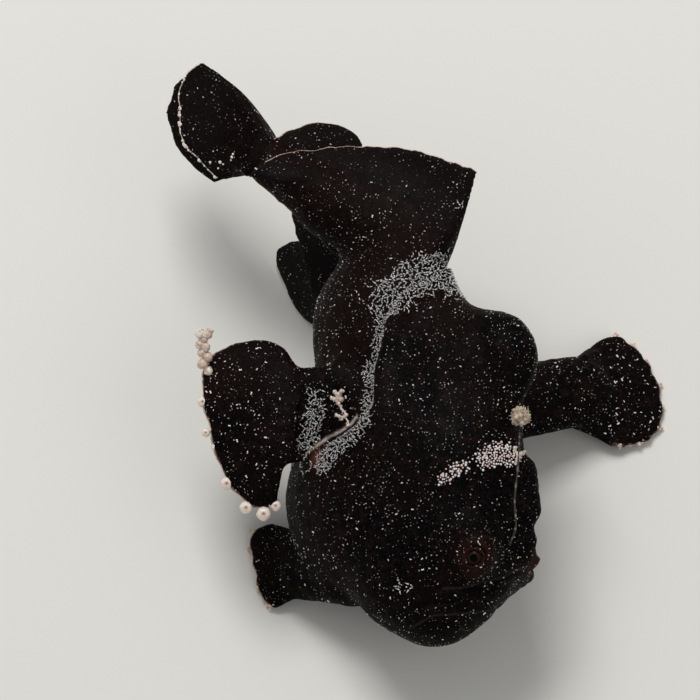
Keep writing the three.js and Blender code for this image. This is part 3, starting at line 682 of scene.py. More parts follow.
def skin_line(cast, *places, count=30):
    shares = np.linspace(0, 1, len(places))
    fine = np.linspace(0, 1, count)
    rights = np.interp(fine, shares, [p[0] for p in places])
    ups = np.interp(fine, shares, [p[1] for p in places])
    hits = [cast(right, up) for right, up in zip(rights, ups)]
    return np.array([hit for hit in hits if hit is not None])


# The skin: flesh and fins as one surface, smoothed where a fin runs into the flesh.
FLESH_BOX = ((-13, -31, -0.5), (21, 15.5, 20))
# How far off the flesh a fin begins, and where and how widely the two are smoothed together.
FIN_BEGINS = 0.12
JUNCTION = 0.25
JUNCTION_WIDTH = 0.35
parts = [net(flesh, *FLESH_BOX, NET_STEP, -COAT)] + [fin_sheet(fin) for fin in FINS.values()]
points, faces = one_surface(parts, VOXEL)
edges = edges_of(faces)
points = relax(points, edges, 0.5, 2)
depth = flesh(points)
on_fin = depth > FIN_BEGINS - COAT
points = relax(points, edges, 0.5 * bump(depth + COAT - JUNCTION, JUNCTION_WIDTH) * on_fin, 14)

fin_number, fin_across, fin_out, fin_away = fin_places(points, ~on_fin)
cast = caster(points, faces)
print("skin", len(points), "places", len(faces), "faces")

# Folds and grooves, by where the main view shows them. Along the arm fold the skin's colour also carries a
# painted highlight.
ARM_FOLD = [px(357, 416), px(350, 425), px(341, 431), px(330, 436), px(320, 443), px(309, 451)]
# Each crease: how deep and how wide it is, and its places.
CREASES = {
    "waist": (0.6, 0.75, [px(440, 272), px(400, 290), px(382, 318), px(378, 342), px(370, 368),
                          px(369, 404), px(354, 423), px(333, 437), px(304, 452)]),
    "nostrils": (0.16, 0.24, [px(442, 586), px(457, 586), px(471, 583), px(484, 580), px(500, 576),
                              px(529, 566)]),
    "axil": (0.6, 0.6, [px(336, 392), px(340, 402), px(346, 412)]),
    "spine": (0.1, 0.7, [px(478, 318), px(476, 334), px(482, 352), px(497, 378), px(512, 396)]),
    "arm": (-0.12, 0.14, ARM_FOLD),
}
# The soft bumps on the left hand: the pixels that they span, their spacing, height and width.
BUMP_COLUMNS = range(556, 660, 14)
BUMP_ROWS = range(352, 446, 13)
BUMP_SHIFT = 5
BUMP_HEIGHT = 0.13
BUMP_WIDTH = 0.3
LEFT_HAND_TOP = 6
# The skin's fine roughness: the height and size of its lumps and of its grain.
LUMPS = (0.09, 2.4)
GRAIN = (0.03, 0.55)
FIN_ROUGHNESS = 0.35


def press_creases(relief, points, cast):
    """Presses each crease into the skin; the waist also swells on its far side."""
    for name, (deep, wide, places) in CREASES.items():
        line = skin_line(cast, *places)
        away, along = nearest_on_line(points, line)
        fade = np.sin(math.pi * np.clip(along * 0.94 + 0.03, 0, 1)) ** 0.4
        if name != "waist":
            relief -= deep * bump(away, wide) * fade
            continue
        side = side_of(points, line)
        under = np.where(side > 0, bump(away, 1.6), bump(away, 0.35))
        over = np.where(side > 0, 0, 0.4 * bump(away - 1.1, 0.8))
        relief += (over - deep * under) * fade


def raise_hand_bumps(relief, points, cast):
    for x in BUMP_COLUMNS:
        for y in BUMP_ROWS:
            hit = cast(*px(x + BUMP_SHIFT * math.sin(x * y), y + BUMP_SHIFT * math.cos(x + y)))
            if hit is not None and hit[2] < LEFT_HAND_TOP:
                relief += BUMP_HEIGHT * bump(np.linalg.norm(points - hit, axis=1), BUMP_WIDTH)


def roughness(points):
    lumps = LUMPS[0] * fractal(points, LUMPS[1], 3)
    grain = GRAIN[0] * noise(points, GRAIN[1], 9)
    return np.where(on_fin, FIN_ROUGHNESS, 1.0) * (lumps + grain)


normals = normals_of(points, faces)
relief = mouth_relief(points)
press_creases(relief, points, cast)
raise_hand_bumps(relief, points, cast)
relief += roughness(points)
points = relax(points + normals * relief[:, None], edges, 0.3, 1)
points[:, 2] = np.maximum(points[:, 2], 0.02)
normals = normals_of(points, faces)
cast = caster(points, faces)


# Materials. A number or colour that is the same all over is set on the shader's own socket.
def new_material(name):
    material = bpy.data.materials.new(name)
    material.use_nodes = True
    shader = material.node_tree.nodes["Principled BSDF"]
    return material, material.node_tree, shader


def set_inputs(node, values):
    for key, value in values.items():
        node.inputs[key].default_value = value


def add_node(tree, kind, inputs=None, **settings):
    node = tree.nodes.new(kind)
    for key, value in settings.items():
        setattr(node, key, value)
    for key, value in (inputs or {}).items():
        if isinstance(value, bpy.types.NodeSocket):
            tree.links.new(value, node.inputs[key])
        else:
            node.inputs[key].default_value = value
    return node


def named(tree, attribute):
    return add_node(tree, "ShaderNodeAttribute", attribute_name=attribute).outputs["Fac"]


def mixed(tree, share, first, second):
    node = add_node(tree, "ShaderNodeMix", data_type="RGBA")
    for index, value in ((0, share), (6, first), (7, second)):
        if isinstance(value, bpy.types.NodeSocket):
            tree.links.new(value, node.inputs[index])
        else:
            node.inputs[index].default_value = value if index == 0 else (*value, 1)
    return node.outputs[2]


def object_place(tree):
    return add_node(tree, "ShaderNodeTexCoord").outputs["Object"]


def spots(tree, scale, low, high):
    pattern = add_node(tree, "ShaderNodeTexNoise", {"Vector": object_place(tree), "Scale": scale,
                                                    "Detail": 3.0, "Roughness": 0.6})
    return add_node(tree, "ShaderNodeMapRange", {"Value": pattern.outputs["Fac"],
                                                 "From Min": low, "From Max": high})


def bumps(tree, shader, *layers):
    last = None
    for scale, strength, distance in layers:
        pattern = spots(tree, scale, 0.3, 0.7)
        node = add_node(tree, "ShaderNodeBump", {"Height": pattern.outputs[0], "Strength": strength,
                                                 "Distance": distance})
        if last:
            tree.links.new(last.outputs[0], node.inputs["Normal"])
        last = node
    tree.links.new(last.outputs[0], shader.inputs["Normal"])


BLACK = (0.0009, 0.0006, 0.0006)
BROWN = (0.0098, 0.0038, 0.0028)
MEMBRANE = (0.0056, 0.0036, 0.0034)
RUST = (0.12, 0.036, 0.02)
CREST = (0.05, 0.042, 0.039)
# The pale colour of the hands' ray tips, and also a painted highlight along the arm fold.
PALE_TIPS_AND_FOLD_HIGHLIGHT = (0.72, 0.6, 0.52)
PEACH = (0.62, 0.36, 0.25)
PEARLY = (0.87, 0.76, 0.67)
# Painted shade for the dents of the clear ray tips.
DIMPLE_SHADE = (0.16, 0.07, 0.05)
PRICKLE_DIM = (0.22, 0.17, 0.15)
PRICKLE_BRIGHT = (0.97, 0.96, 0.94)
PRICKLE_PINK = (0.72, 0.42, 0.36)
LURE_CREAM = (0.62, 0.5, 0.37)
LURE_BAND = (0.02, 0.011, 0.008)
PUPIL = (0.001, 0.001, 0.0012)
IRIS = (0.024, 0.01, 0.007)
IRIS_EDGE = (0.045, 0.018, 0.012)


def layered(tree, shader, colour, *layers):
    """The base colour, with further colours laid over it by the skin's own shares."""
    for share, over in layers:
        colour = mixed(tree, named(tree, share) if isinstance(share, str) else share, colour, over)
    tree.links.new(colour, shader.inputs["Base Color"])


def skin_material():
    material, tree, shader = new_material("wet_black_skin")
    patches = spots(tree, 1300, 0.5, 0.72).outputs[0]
    cells = add_node(tree, "ShaderNodeTexVoronoi", {"Vector": object_place(tree), "Scale": 2900},
                     feature="DISTANCE_TO_EDGE")
    web = add_node(tree, "ShaderNodeMapRange", {"Value": cells.outputs["Distance"], "From Min": 0.0,
                                                "From Max": 0.07, "To Min": 0.13, "To Max": 0.0})
    # The pale layer holds the hands' pale ray tips and a painted highlight along the arm fold.
    layered(tree, shader, BLACK, (patches, BROWN), ("warm", BROWN), ("membrane", MEMBRANE),
            (web.outputs[0], CREST), ("crest", CREST), ("rust", RUST), ("pale_tips_and_fold_highlight", PALE_TIPS_AND_FOLD_HIGHLIGHT))
    gloss = add_node(tree, "ShaderNodeMapRange", {"Value": spots(tree, 900, 0.35, 0.7).outputs[0],
                                                  "To Min": 0.42, "To Max": 0.62})
    tree.links.new(gloss.outputs[0], shader.inputs["Roughness"])
    set_inputs(shader, {"Specular IOR Level": 0.024})
    bumps(tree, shader, (1500, 0.35, 0.00006), (5200, 0.25, 0.00003))
    return material


def tip_material():
    material, tree, shader = new_material("fleshy_tips")
    # The dark dimple layer is painted shade in the dents of the clear tips.
    layered(tree, shader, PEACH, ("glow", PEARLY), ("dimple", DIMPLE_SHADE))
    set_inputs(shader, {"Roughness": 0.3, "Subsurface Weight": 0.25, "Subsurface Scale": 1.0,
                        "Subsurface Radius": (0.0006, 0.0003, 0.0002)})
    bumps(tree, shader, (3600, 0.3, 0.00003))
    return material


def spinule_material():
    material, tree, shader = new_material("pale_prickles")
    layered(tree, shader, PRICKLE_DIM, ("glow", PRICKLE_BRIGHT), ("pink", PRICKLE_PINK))
    set_inputs(shader, {"Roughness": 0.3, "Specular IOR Level": 0.9})
    return material


def lure_material():
    material, tree, shader = new_material("banded_lure")
    layered(tree, shader, LURE_CREAM, ("band", LURE_BAND))
    set_inputs(shader, {"Roughness": 0.55, "Subsurface Weight": 0.15,
                        "Subsurface Radius": (0.0005, 0.0003, 0.0002)})
    return material


def eye_material():
    material, tree, shader = new_material("wet_eye")
    layered(tree, shader, PUPIL, ("iris", IRIS), ("ring", IRIS_EDGE))
    set_inputs(shader, {"Roughness": 0.16, "Specular IOR Level": 0.035})
    return material


SKIN = skin_material()
TIPS = tip_material()
PRICKLES = spinule_material()
LURE = lure_material()
EYE = eye_material()

# The rusty spots: their middle, their width and how strong they are.
RUSTY = [(EYES["right"], 1.0, 0.34), (EYES["left"], 1.0, 0.34), (LEFT_NOSTRIL[1], 0.9, 0.3),
         (NOSTRIL[1], 0.75, 0.3), (cast(*px(317, 457)), 0.65, 1.0)]
# The faint pale lines round the mouth and between the nostrils.
LINES = [[px(442, 586), px(457, 586), px(471, 583), px(484, 579), px(500, 576), px(512, 570), px(529, 566)],
         [px(529, 567), px(524, 577), px(516, 588), px(500, 601), px(488, 609)],
         [px(516, 589), px(506, 598), px(493, 607), px(480, 610), px(452, 612), px(432, 613), px(412, 625)]]
LINE_STRENGTH = 0.42
LINE_WIDTH = 0.07
# The rim of a fin: its width, how near the fin's middle it lies, and the shortest reach that has one.
RIM_WIDTH = 0.22
RIM_DEPTH = 0.45
RIM_LEAST_REACH = 2.5

handed = np.isin(fin_number, HAND_NUMBERS + FOOT_NUMBERS)


def rim_share(points):
    """How far each place belongs to the thin edge of its fin."""
    gap = np.full(len(points), FAR)
    for number, name in enumerate(FIN_NAMES):
        here = fin_number == number
        fin = FINS[name]
        across = fin_across[here]
        reach = np.linalg.norm(fin["margin"](across) - fin["root"](across), axis=1)
        gap[here] = (fin_edge(fin, across) - fin_out[here]) * reach + FAR * (reach < RIM_LEAST_REACH)
    return smoothstep(RIM_WIDTH, 0.0, gap) * (fin_away < RIM_DEPTH)


def skin_shares(points, cast):
    """The skin's colour shares, by place."""
    blade = (fin_number >= 0) & ~handed
    rays = np.array([FINS[name]["rays"] for name in FIN_NAMES])[fin_number]
    pale_tips_and_fold_highlight = np.clip(rim_share(points) * np.where(handed, 0.4 * rayness(fin_across, rays), 0), 0, 1)
    # A painted highlight: a pale line in the skin's colour along the edge of the arm fold, where light
    # catches it.
    arm_fold, _ = nearest_on_line(points, skin_line(cast, *ARM_FOLD))
    fold_highlight = bump(arm_fold + 0.05 * noise(points, 0.5, 6), 0.1)
    pale_tips_and_fold_highlight = np.maximum(pale_tips_and_fold_highlight, 0.8 * fold_highlight * (0.7 + 0.3 * noise(points, 0.3, 5)))
    forward = (points - BODY_MIDDLE) @ FORWARD
    warm = 0.1 + 0.5 * fractal(points, 5, 21) + 0.5 * smoothstep(-4, -9, forward)
    rust = np.zeros(len(points))
    for middle, size, share in RUSTY:
        rust = np.maximum(rust, share * bump(np.linalg.norm(points - middle, axis=1), size))
    crest = np.zeros(len(points))
    for places in LINES:
        away, _ = nearest_on_line(points, skin_line(cast, *places))
        crest = np.maximum(crest, LINE_STRENGTH * bump(away, LINE_WIDTH))
    return {"warm": np.clip(warm, 0, 1) * np.where(blade, 0.5, 1),
            "membrane": np.where(blade, smoothstep(0.3, 0.75, fin_out), 0),
            "pale_tips_and_fold_highlight": pale_tips_and_fold_highlight, "rust": rust, "crest": crest}


skin = new_piece("skin", points, faces, SKIN, skin_shares(points, cast))
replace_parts(skin, "head", "lower_jaw", "trunk", "tail_stalk", "dorsal_spine_third", "dorsal_spine_second",
            "pectoral_arm_right", "pectoral_arm_left", "dorsal_fin", "anal_fin", "tail_fin_lower_half",
            "tail_fin_upper_half", "pectoral_fin_right", "pectoral_fin_left", "pelvic_fin_right",
            "pelvic_fin_left")


def sphere(polar, turn, axis, east):
    """The ways out of a ball's middle, by the angle off its axis and the turn round it."""
    north = np.cross(east, axis)
    return (np.cos(polar)[..., None] * axis + np.sin(polar)[..., None]
            * (np.cos(turn)[..., None] * east + np.sin(turn)[..., None] * north))


def ring_triangles(number):
    """The triangles between rings of numbered places."""
    after = np.roll(number, -1, axis=1)
    quads = np.stack([number[:-1], number[1:], after[1:], after[:-1]], -1).reshape(-1, 4)
    return np.concatenate([quads[:, [0, 1, 2]], quads[:, [0, 2, 3]]])


# The eyeball's size, how far its front bulges, and how far the pupil reaches, as an angle.
BALL_RADIUS = EYE_RADIUS - 0.03
BULGE = 0.05
PUPIL_ANGLE = 0.4


def add_eye(side):
    """A ball with a dark pupil, a brown iris and a clear bulge over them."""
    rows, columns = 40, 56
    axis = EYE_OUT[side]
    polar, turn = np.meshgrid(np.linspace(0, math.pi, rows + 1)[1:-1],
                              np.linspace(0, 2 * math.pi, columns, endpoint=False), indexing="ij")
    radius = BALL_RADIUS * (1 + BULGE * bump(polar, 0.5))
    rings = sphere(polar, turn, axis, unit(np.cross(axis, UP))) * radius[..., None]
    poles = [axis * BALL_RADIUS * (1 + BULGE), -axis * BALL_RADIUS]
    number = np.arange(polar.size).reshape(polar.shape)
    after = np.roll(number, -1, axis=1)
    top = np.stack([np.full(columns, number.size), number[0], after[0]], 1)
    bottom = np.stack([np.full(columns, number.size + 1), after[-1], number[-1]], 1)
    triangles = np.concatenate([ring_triangles(number), top, bottom])
    angle = np.concatenate([polar.ravel(), [0, math.pi]])
    around = np.concatenate([turn.ravel(), [0, 0]])
    streaks = 0.5 + 0.5 * np.cos(around * 14 + 2 * np.sin(around * 3))
    iris = smoothstep(PUPIL_ANGLE, PUPIL_ANGLE + 0.06, angle) * (0.55 + 0.45 * streaks)
    edge = bump(angle - PUPIL_ANGLE - 0.08, 0.05) * 0.6
    places = np.concatenate([rings.reshape(-1, 3), poles]) + EYES[side]
    piece = new_piece(f"eye_ball_{side}", places, triangles, EYE, {"iris": iris, "ring": edge})
    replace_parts(piece, f"eye_{side}")


add_eye("right")
add_eye("left")


# Small tapered threads, such as tips and filaments, as closed tubes with round ends.
def tube(path, radii, sides=8):
    path = np.asarray(path, float)
    ways = unit(np.gradient(path, axis=0))
    helper = np.array([0.0, 0, 1]) if abs(ways[0][2]) < 0.9 else np.array([1.0, 0, 0])
    east = unit(np.cross(ways[0], helper))
    places = []
    for place, way, radius in zip(path, ways, radii):
        east = unit(east - (east @ way) * way)
        north = np.cross(way, east)
        for side in range(sides):
            turn = side / sides * 2 * math.pi
            places.append(place + radius * (math.cos(turn) * east + math.sin(turn) * north))
    triangles = []
    for index in range(len(path) - 1):
        for side in range(sides):
            a = index * sides + side
            b = index * sides + (side + 1) % sides
            triangles += [(a, b, b + sides), (a, b + sides, a + sides)]
    start, end = len(places), len(places) + 1
    places += [path[0] - ways[0] * radii[0] * 0.4, path[-1] + ways[-1] * radii[-1] * 0.4]
    last = (len(path) - 1) * sides
    for side in range(sides):
        triangles.append((start, (side + 1) % sides, side))
        triangles.append((end, last + side, last + (side + 1) % sides))
    return np.array(places), np.array(triangles)


class Heap:
    """Gathers small closed shapes with their attributes into one mesh."""

    def __init__(self, **usual):
        self.usual = usual
        self.points, self.faces, self.values, self.count = [], [], {}, 0

    def add(self, shape, **values):
        places, triangles = shape
        self.points.append(places)
        self.faces.append(triangles + self.count)
        self.count += len(places)
        for key, value in {**self.usual, **values}.items():
            self.values.setdefault(key, []).append(np.broadcast_to(value, len(places)))

    def piece(self, name, slot_name, material):
        values = {key: np.concatenate(value) for key, value in self.values.items()}
        return new_piece(name, np.concatenate(self.points), np.concatenate(self.faces),
                         material, values)


def ball_shape(middle, radius, rng, rows=7, columns=10):
    """A small uneven ball."""
    path = middle + unit(rng.normal(size=3)) * np.linspace(-1, 1, rows)[:, None] * radius * 0.82
    round_off = np.sqrt(np.clip(1 - np.linspace(-0.86, 0.86, rows) ** 2, 0, 1))
    return tube(path, radius * round_off * rng.uniform(0.9, 1.1, rows), columns)


# The soft ray tips, by where they show, with their radius and how pale they are.
RAY_TIPS = {
    "hand_left": [(618, 335, 0.15, 0.3), (633, 346, 0.17, 0.3), (646, 365, 0.14, 0.3),
                  (660, 384, 0.13, 0.2), (663, 406, 0.12, 0.2), (659, 428, 0.14, 0.3),
                  (641, 446, 0.17, 0.4), (621, 447, 0.16, 0.3)],
    "foot_right": [(255, 533, 0.2, 0.5), (254, 549, 0.17, 0.3), (254, 563, 0.19, 0.4),
                   (258, 589, 0.2, 0.3), (272, 603, 0.2, 0.2)],
    "foot_left": [(442, 626, 0.18, 0.3), (459, 627, 0.18, 0.3), (475, 615, 0.18, 0.3),
                  (479, 597, 0.18, 0.3)],
}
# The larger clear tips on the right hand, by where they show, with their radius.
PEARLS = [(228, 482, 0.5), (247, 506, 0.5), (264, 512, 0.55), (276, 504, 0.43), (204, 402, 0.42),
          (207, 432, 0.34), (217, 446, 0.42)]
# How a tip swells from its ray to its end.
TIP_SWELL = np.array([0.5, 0.55, 0.62, 0.74, 0.88, 0.98, 1.0, 0.96, 0.86, 0.66, 0.34])
TIP_SIDES = 14
# The least gap between a tip and the floor, and how deep a tip starts inside its fin.
FLOOR_GAP = 0.02
TIP_ROOT = 0.45


def margin_near(fin, x, y):
    """The place on a fin's margin that shows nearest to a place in the view, and the way out there."""
    share = np.linspace(0, 1, 80)
    edge, root = fin["margin"](share), fin["root"](share)
    best = np.argmin(np.linalg.norm(shown_place(edge) - px(x, y), axis=1))
    return edge[best], unit(edge[best] - root[best])


def add_tip(heap, rng, fin, x, y, radius, glow):
    """One swollen, knobbly tip that ends a ray at the edge of its fin."""
    nearest, way = margin_near(fin, x, y)
    end = seen(*px(x, y), max(nearest[2], radius * 0.9 + 0.03))
    length = np.clip((end - nearest) @ way, 0.02, 0.14) + TIP_ROOT + radius * 0.4
    share = np.linspace(0, 1, len(TIP_SWELL))
    path = nearest - way * TIP_ROOT + way * share[:, None] * length
    swell = radius * TIP_SWELL
    path[:, 2] = np.maximum(path[:, 2], swell + FLOOR_GAP)
    along = np.append(np.repeat(share, TIP_SIDES), [0, 1])
    heap.add(tube(path, swell, TIP_SIDES), glow=np.clip(glow * (0.4 + 0.9 * along), 0, 1))
    for _ in range(4):
        size = rng.uniform(0.07, 0.15)
        middle = path[-2] + unit(rng.normal(size=3)) * radius * 1.1
        middle[2] = max(middle[2], size + FLOOR_GAP)
        if np.all(middle - size > BOX_LOW) and np.all(middle + size < BOX_HIGH):
            heap.add(ball_shape(middle, size, rng), glow=rng.uniform(0, 0.6))


def add_pearl(heap, x, y, radius):
    """A clear, egg-shaped ray tip on a short neck, with a dimple on the side that is seen; painted shade
    darkens the dimple and a painted highlight lightens a ring round it.
    """
    rows, columns = 22, 26
    nearest, way = margin_near(FINS["hand_right"], x, y)
    middle = seen(*px(x, y), nearest[2])
    neck = np.linspace(nearest - way * 0.4, middle, 8)
    heap.add(tube(neck, np.linspace(0.5, 0.62, 8) * radius, TIP_SIDES), glow=0.25)
    out = unit(middle - nearest + way * 0.3)
    facing = unit(VIEWWARD + 0.25 * out)
    polar, turn = np.meshgrid(np.linspace(0.02, math.pi - 0.02, rows),
                              np.linspace(0, 2 * math.pi, columns + 1)[:-1], indexing="ij")
    ways = sphere(polar, turn, facing, unit(np.cross(facing, out)))
    uneven = 0.04 * np.sin(5 * turn) * np.sin(polar)
    reach = radius * (1 + 0.16 * (ways @ out) - 0.3 * bump(polar, 0.26) + uneven)
    number = np.arange(rows * columns).reshape(rows, columns)
    caps = [number[0], number[-1][::-1]]
    fans = [np.stack([np.full(columns - 2, cap[0]), cap[1:-1], cap[2:]], 1) for cap in caps]
    # The glow share paints a highlight in a ring round the dimple, and the dark dimple share paints shade in
    # it.
    heap.add(((middle + ways * reach[..., None]).reshape(-1, 3),
              np.concatenate([ring_triangles(number), *fans])),
             glow=(0.35 + 0.65 * bump(polar - 0.75, 0.5)).ravel(),
             dimple=(0.85 * bump(polar, 0.24)).ravel())


def add_ray_tips():
    rng = np.random.default_rng(SEED + 8)
    heap = Heap(dimple=0)
    for name, tips in RAY_TIPS.items():
        for tip in tips:
            add_tip(heap, rng, FINS[name], *tip)
    for pearl in PEARLS:
        add_pearl(heap, *pearl)
    heap.piece("ray_tips", "fin_tips", TIPS)


add_ray_tips()


def skin_above(forward, right, lift):
    return skin_along(fish(forward, 0, right), UP, lift)


LURE_PATH = rail(*(skin_above(*place) for place in (
    (12.2, 1.2, 0.2), (11.2, 1.3, 0.8), (9.2, 1.3, 0.9), (7.0, 1.1, 0.9), (5.2, 1.0, 0.9), (4.3, 0.9, 1.0))))
ESCA = skin_above(3.1, 0.8, 1.25)
LOBES = 110
THREADS = 120
LOBE_SWELL = np.array([0.8, 1.0, 0.85, 1.1, 0.9, 1.0, 0.6])


def add_lure():
    """The banded rod laid back along the head, and the tuft of blunt lobes and fine threads at its end."""
    rng = np.random.default_rng(SEED + 1)
    share = np.linspace(0, 1, 60)
    along = np.repeat(share, 10)
    band = np.concatenate([smoothstep(-1.0, -0.75, np.sin(along * 60)) * 0.35 + 0.65, [1, 1]])
    rod = Heap()
    rod.add(tube(LURE_PATH(share), 0.075 + 0.015 * np.cos(share * 40), 10), band=band)
    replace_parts(rod.piece("lure_rod", "lure", LURE), "illicium")
    tuft = Heap()
    t = np.linspace(0, 1, len(LOBE_SWELL))[:, None]
    for _ in range(LOBES):
        way = unit(rng.normal(size=3) + 0.5 * UP * rng.uniform(-1, 1))
        bend = unit(np.cross(way, rng.normal(size=3)))
        path = ESCA + way * (0.15 + t * rng.uniform(0.3, 0.62)) + bend * t ** 2 * rng.uniform(0.1, 0.35)
        tuft.add(tube(path, rng.uniform(0.1, 0.2) * LOBE_SWELL, 9), band=rng.uniform(0.0, 0.5))
    for _ in range(THREADS):
        way = unit(rng.normal(size=3))
        bend = unit(np.cross(way, rng.normal(size=3)))
        path = (ESCA + way * (0.3 + t * rng.uniform(0.3, 0.6))
                + bend * np.sin(t * rng.uniform(1.5, 4)) * rng.uniform(0.1, 0.35))
        tuft.add(tube(path, np.linspace(0.05, 0.028, len(t)), 5), band=rng.uniform(0, 0.35))
    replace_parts(tuft.piece("lure_tuft", "lure", LURE), "esca")


add_lure()

# The bunch of curled ray tips: its stem, and its knobs by where they show, with their radius.
CURL_STEM = rail((*px(213, 376), 11.7), (*px(206, 366), 12.0), (*px(205, 352), 12.6),
                 (*px(201, 341), 13.2), (*px(205, 333), 13.5))
CURL_KNOBS = [(209, 371, 0.34), (203, 364, 0.44), (208, 357, 0.4), (202, 353, 0.36), (206, 347, 0.38),
              (200, 345, 0.36), (204, 339, 0.34), (208, 335, 0.36), (201, 334, 0.42), (211, 331, 0.24)]
CURL_FOOT_ROW = 376
CURL_FOOT_HEIGHT = 11.7
CURL_RISE = 0.042


def add_curled_tips():
    """The first rays of the raised hand, curled up in a bunch of pearly tips."""
    rng = np.random.default_rng(SEED + 4)
    heap = Heap(dimple=0)
    heap.add(tube(CURL_STEM(np.linspace(0, 1, 14)), np.full(14, 0.2), 8), glow=0.3)
    for x, y, radius in CURL_KNOBS:
        middle = seen(*px(x, y), CURL_FOOT_HEIGHT + (CURL_FOOT_ROW - y) * CURL_RISE)
        heap.add(ball_shape(middle, radius, rng, 10, 14), glow=rng.uniform(0.3, 0.9))
        for _ in range(8):
            way = unit(rng.normal(size=3) + 0.8 * VIEWWARD)
            small = ball_shape(middle + way * radius * 0.8, rng.uniform(0.06, 0.14), rng)
            heap.add(small, glow=rng.uniform(0.0, 1.0))
    heap.piece("curled_ray_tips", "fin_tips", TIPS)


# The fringed threads by the gill pore and over the brow, and the knobs among them.
GILL_LINES = [[px(335, 392), px(338, 404), px(345, 412), px(348, 424)], [px(332, 397), px(338, 401)],
              [px(336, 415), px(341, 417), px(346, 416)], [px(341, 391), px(338, 397)],
              [px(513, 447), px(517, 455), px(515, 462)], [px(517, 455), px(522, 452)]]
GILL_KNOBS = [(339, 394, 0.2), (341, 399, 0.24), (338, 403, 0.17), (343, 391, 0.13), (346, 414, 0.12)]
GILL_LIFT = VIEWWARD * 0.1


def add_gill_threads():
    rng = np.random.default_rng(SEED + 5)
    heap = Heap(dimple=0)
    t = np.linspace(0, 1, 5)[:, None]
    for places in GILL_LINES:
        line = skin_line(cast, *places, count=12) + GILL_LIFT
        line = line + rng.normal(size=line.shape) * 0.05
        lumpy = np.linspace(0.12, 0.06, len(line)) * rng.uniform(0.6, 1.5, len(line))
        heap.add(tube(line, lumpy), glow=rng.uniform(0.4, 0.8))
        for place in line:
            knob = ball_shape(place + rng.normal(size=3) * 0.07, rng.uniform(0.06, 0.15), rng)
            heap.add(knob, glow=rng.uniform(0.3, 0.9))
            way = unit(rng.normal(size=3) + 0.4 * VIEWWARD)
            fringe = tube(place + way * t * rng.uniform(0.12, 0.28), np.linspace(0.05, 0.03, len(t)), 6)
            heap.add(fringe, glow=rng.uniform(0.3, 0.9))
    for x, y, radius in GILL_KNOBS:
        heap.add(ball_shape(cast(*px(x, y)) + GILL_LIFT, radius, rng), glow=rng.uniform(0.3, 0.8))
    heap.piece("gill_threads", "fin_tips", TIPS)


TAIL_FLECKS = [(232, 157, 0.13), (233, 154, 0.1), (231, 160, 0.08), (220, 162, 0.13), (223, 164, 0.08),
               (210, 162, 0.1), (213, 151, 0.06), (218, 168, 0.08)]
TAIL_BEADS = 60
BIG_BEAD_SHARE = 0.25


def add_tail_beads():
    """White beads along the edge of the tail fin's near half, and a few flecks on it."""
    rng = np.random.default_rng(SEED + 6)
    heap = Heap(dimple=0)
    fin = FINS["tail_near"]
    for share in np.sort(rng.uniform(0.0, 0.97, TAIL_BEADS)):
        at = fin_middle(fin, np.array([share]), np.array([rng.uniform(0.975, 1.0)]))[0]
        bead = ball_shape(at, rng.uniform(0.04, 0.12) + 0.06 * (rng.random() < BIG_BEAD_SHARE), rng)
        heap.add(bead, glow=rng.uniform(0.7, 1.0))
    for x, y, size in TAIL_FLECKS:
        at = cast(*px(x, y))
        if at is not None:
            heap.add(ball_shape(at, size, rng), glow=1.0)
    heap.piece("tail_beads", "spinules", TIPS)


# Painted rim highlights on the fins, as thin pale threads along their margins in place of light through the
# thin fin edges: the fin, the span of its margin, the thickness and how pale it is.
RIM_HIGHLIGHTS = [("dorsal", (0.0, 0.5), 0.045, 0.5), ("dorsal", (0.5, 0.86), 0.026, 0.0),
        ("dorsal_rear", (0.05, 0.7), 0.036, 0.1), ("tail_near", (0.0, 1.0), 0.042, 0.4),
        ("hand_right", (0.3, 0.8), 0.06, 0.15),
        ("hand_right", (0.8, 0.96), 0.07, 0.3), ("anal_far", (0.25, 0.8), 0.03, 0.0),
        ("foot_right", (0.1, 0.95), 0.05, 0.0), ("hand_left", (0.1, 0.9), 0.025, 0.0)]


RIM_REACH = 0.7


def relax_line(line):
    for _ in range(3):
        line[1:-1] = (line[:-2] + 2 * line[1:-1] + line[2:]) / 4
    return line


def add_rim_highlights():
    """Thin uneven pale threads laid on the skin along the margins of the fins: a painted rim highlight."""
    rng = np.random.default_rng(SEED + 7)
    heap = Heap(dimple=0)
    tree = surface_tree(points, faces)
    for name, (start, end), radius, glow in RIM_HIGHLIGHTS:
        fin = FINS[name]
        share = np.linspace(start, end, 110)
        middle = fin_middle(fin, share, fin_edge(fin, share))
        line = np.array([tree.find_nearest(Vector(place))[0] for place in middle])
        keep = np.linalg.norm(line - middle, axis=1) < RIM_REACH
        out = unit(fin["margin"](share) - fin["root"](share))
        line = relax_line((line + out * radius * 0.8)[keep])
        if len(line) < 8:
            continue
        uneven = radius * (1 + 0.5 * noise(line, 0.5, 41) + 0.2 * rng.normal(size=len(line)))
        heap.add(tube(line, np.maximum(uneven, 0.4 * radius), 6), glow=glow)
    heap.piece("fin_rim_highlights", "fin_tips", TIPS)


add_curled_tips()
add_gill_threads()
add_tail_beads()
add_rim_highlights()


# Prickles: places scattered on the skin, closer together and longer where the skin is folded.
def face_areas(points, faces):
    return np.linalg.norm(np.cross(points[faces[:, 2]] - points[faces[:, 0]],
                                   points[faces[:, 3]] - points[faces[:, 1]]), axis=1) / 2


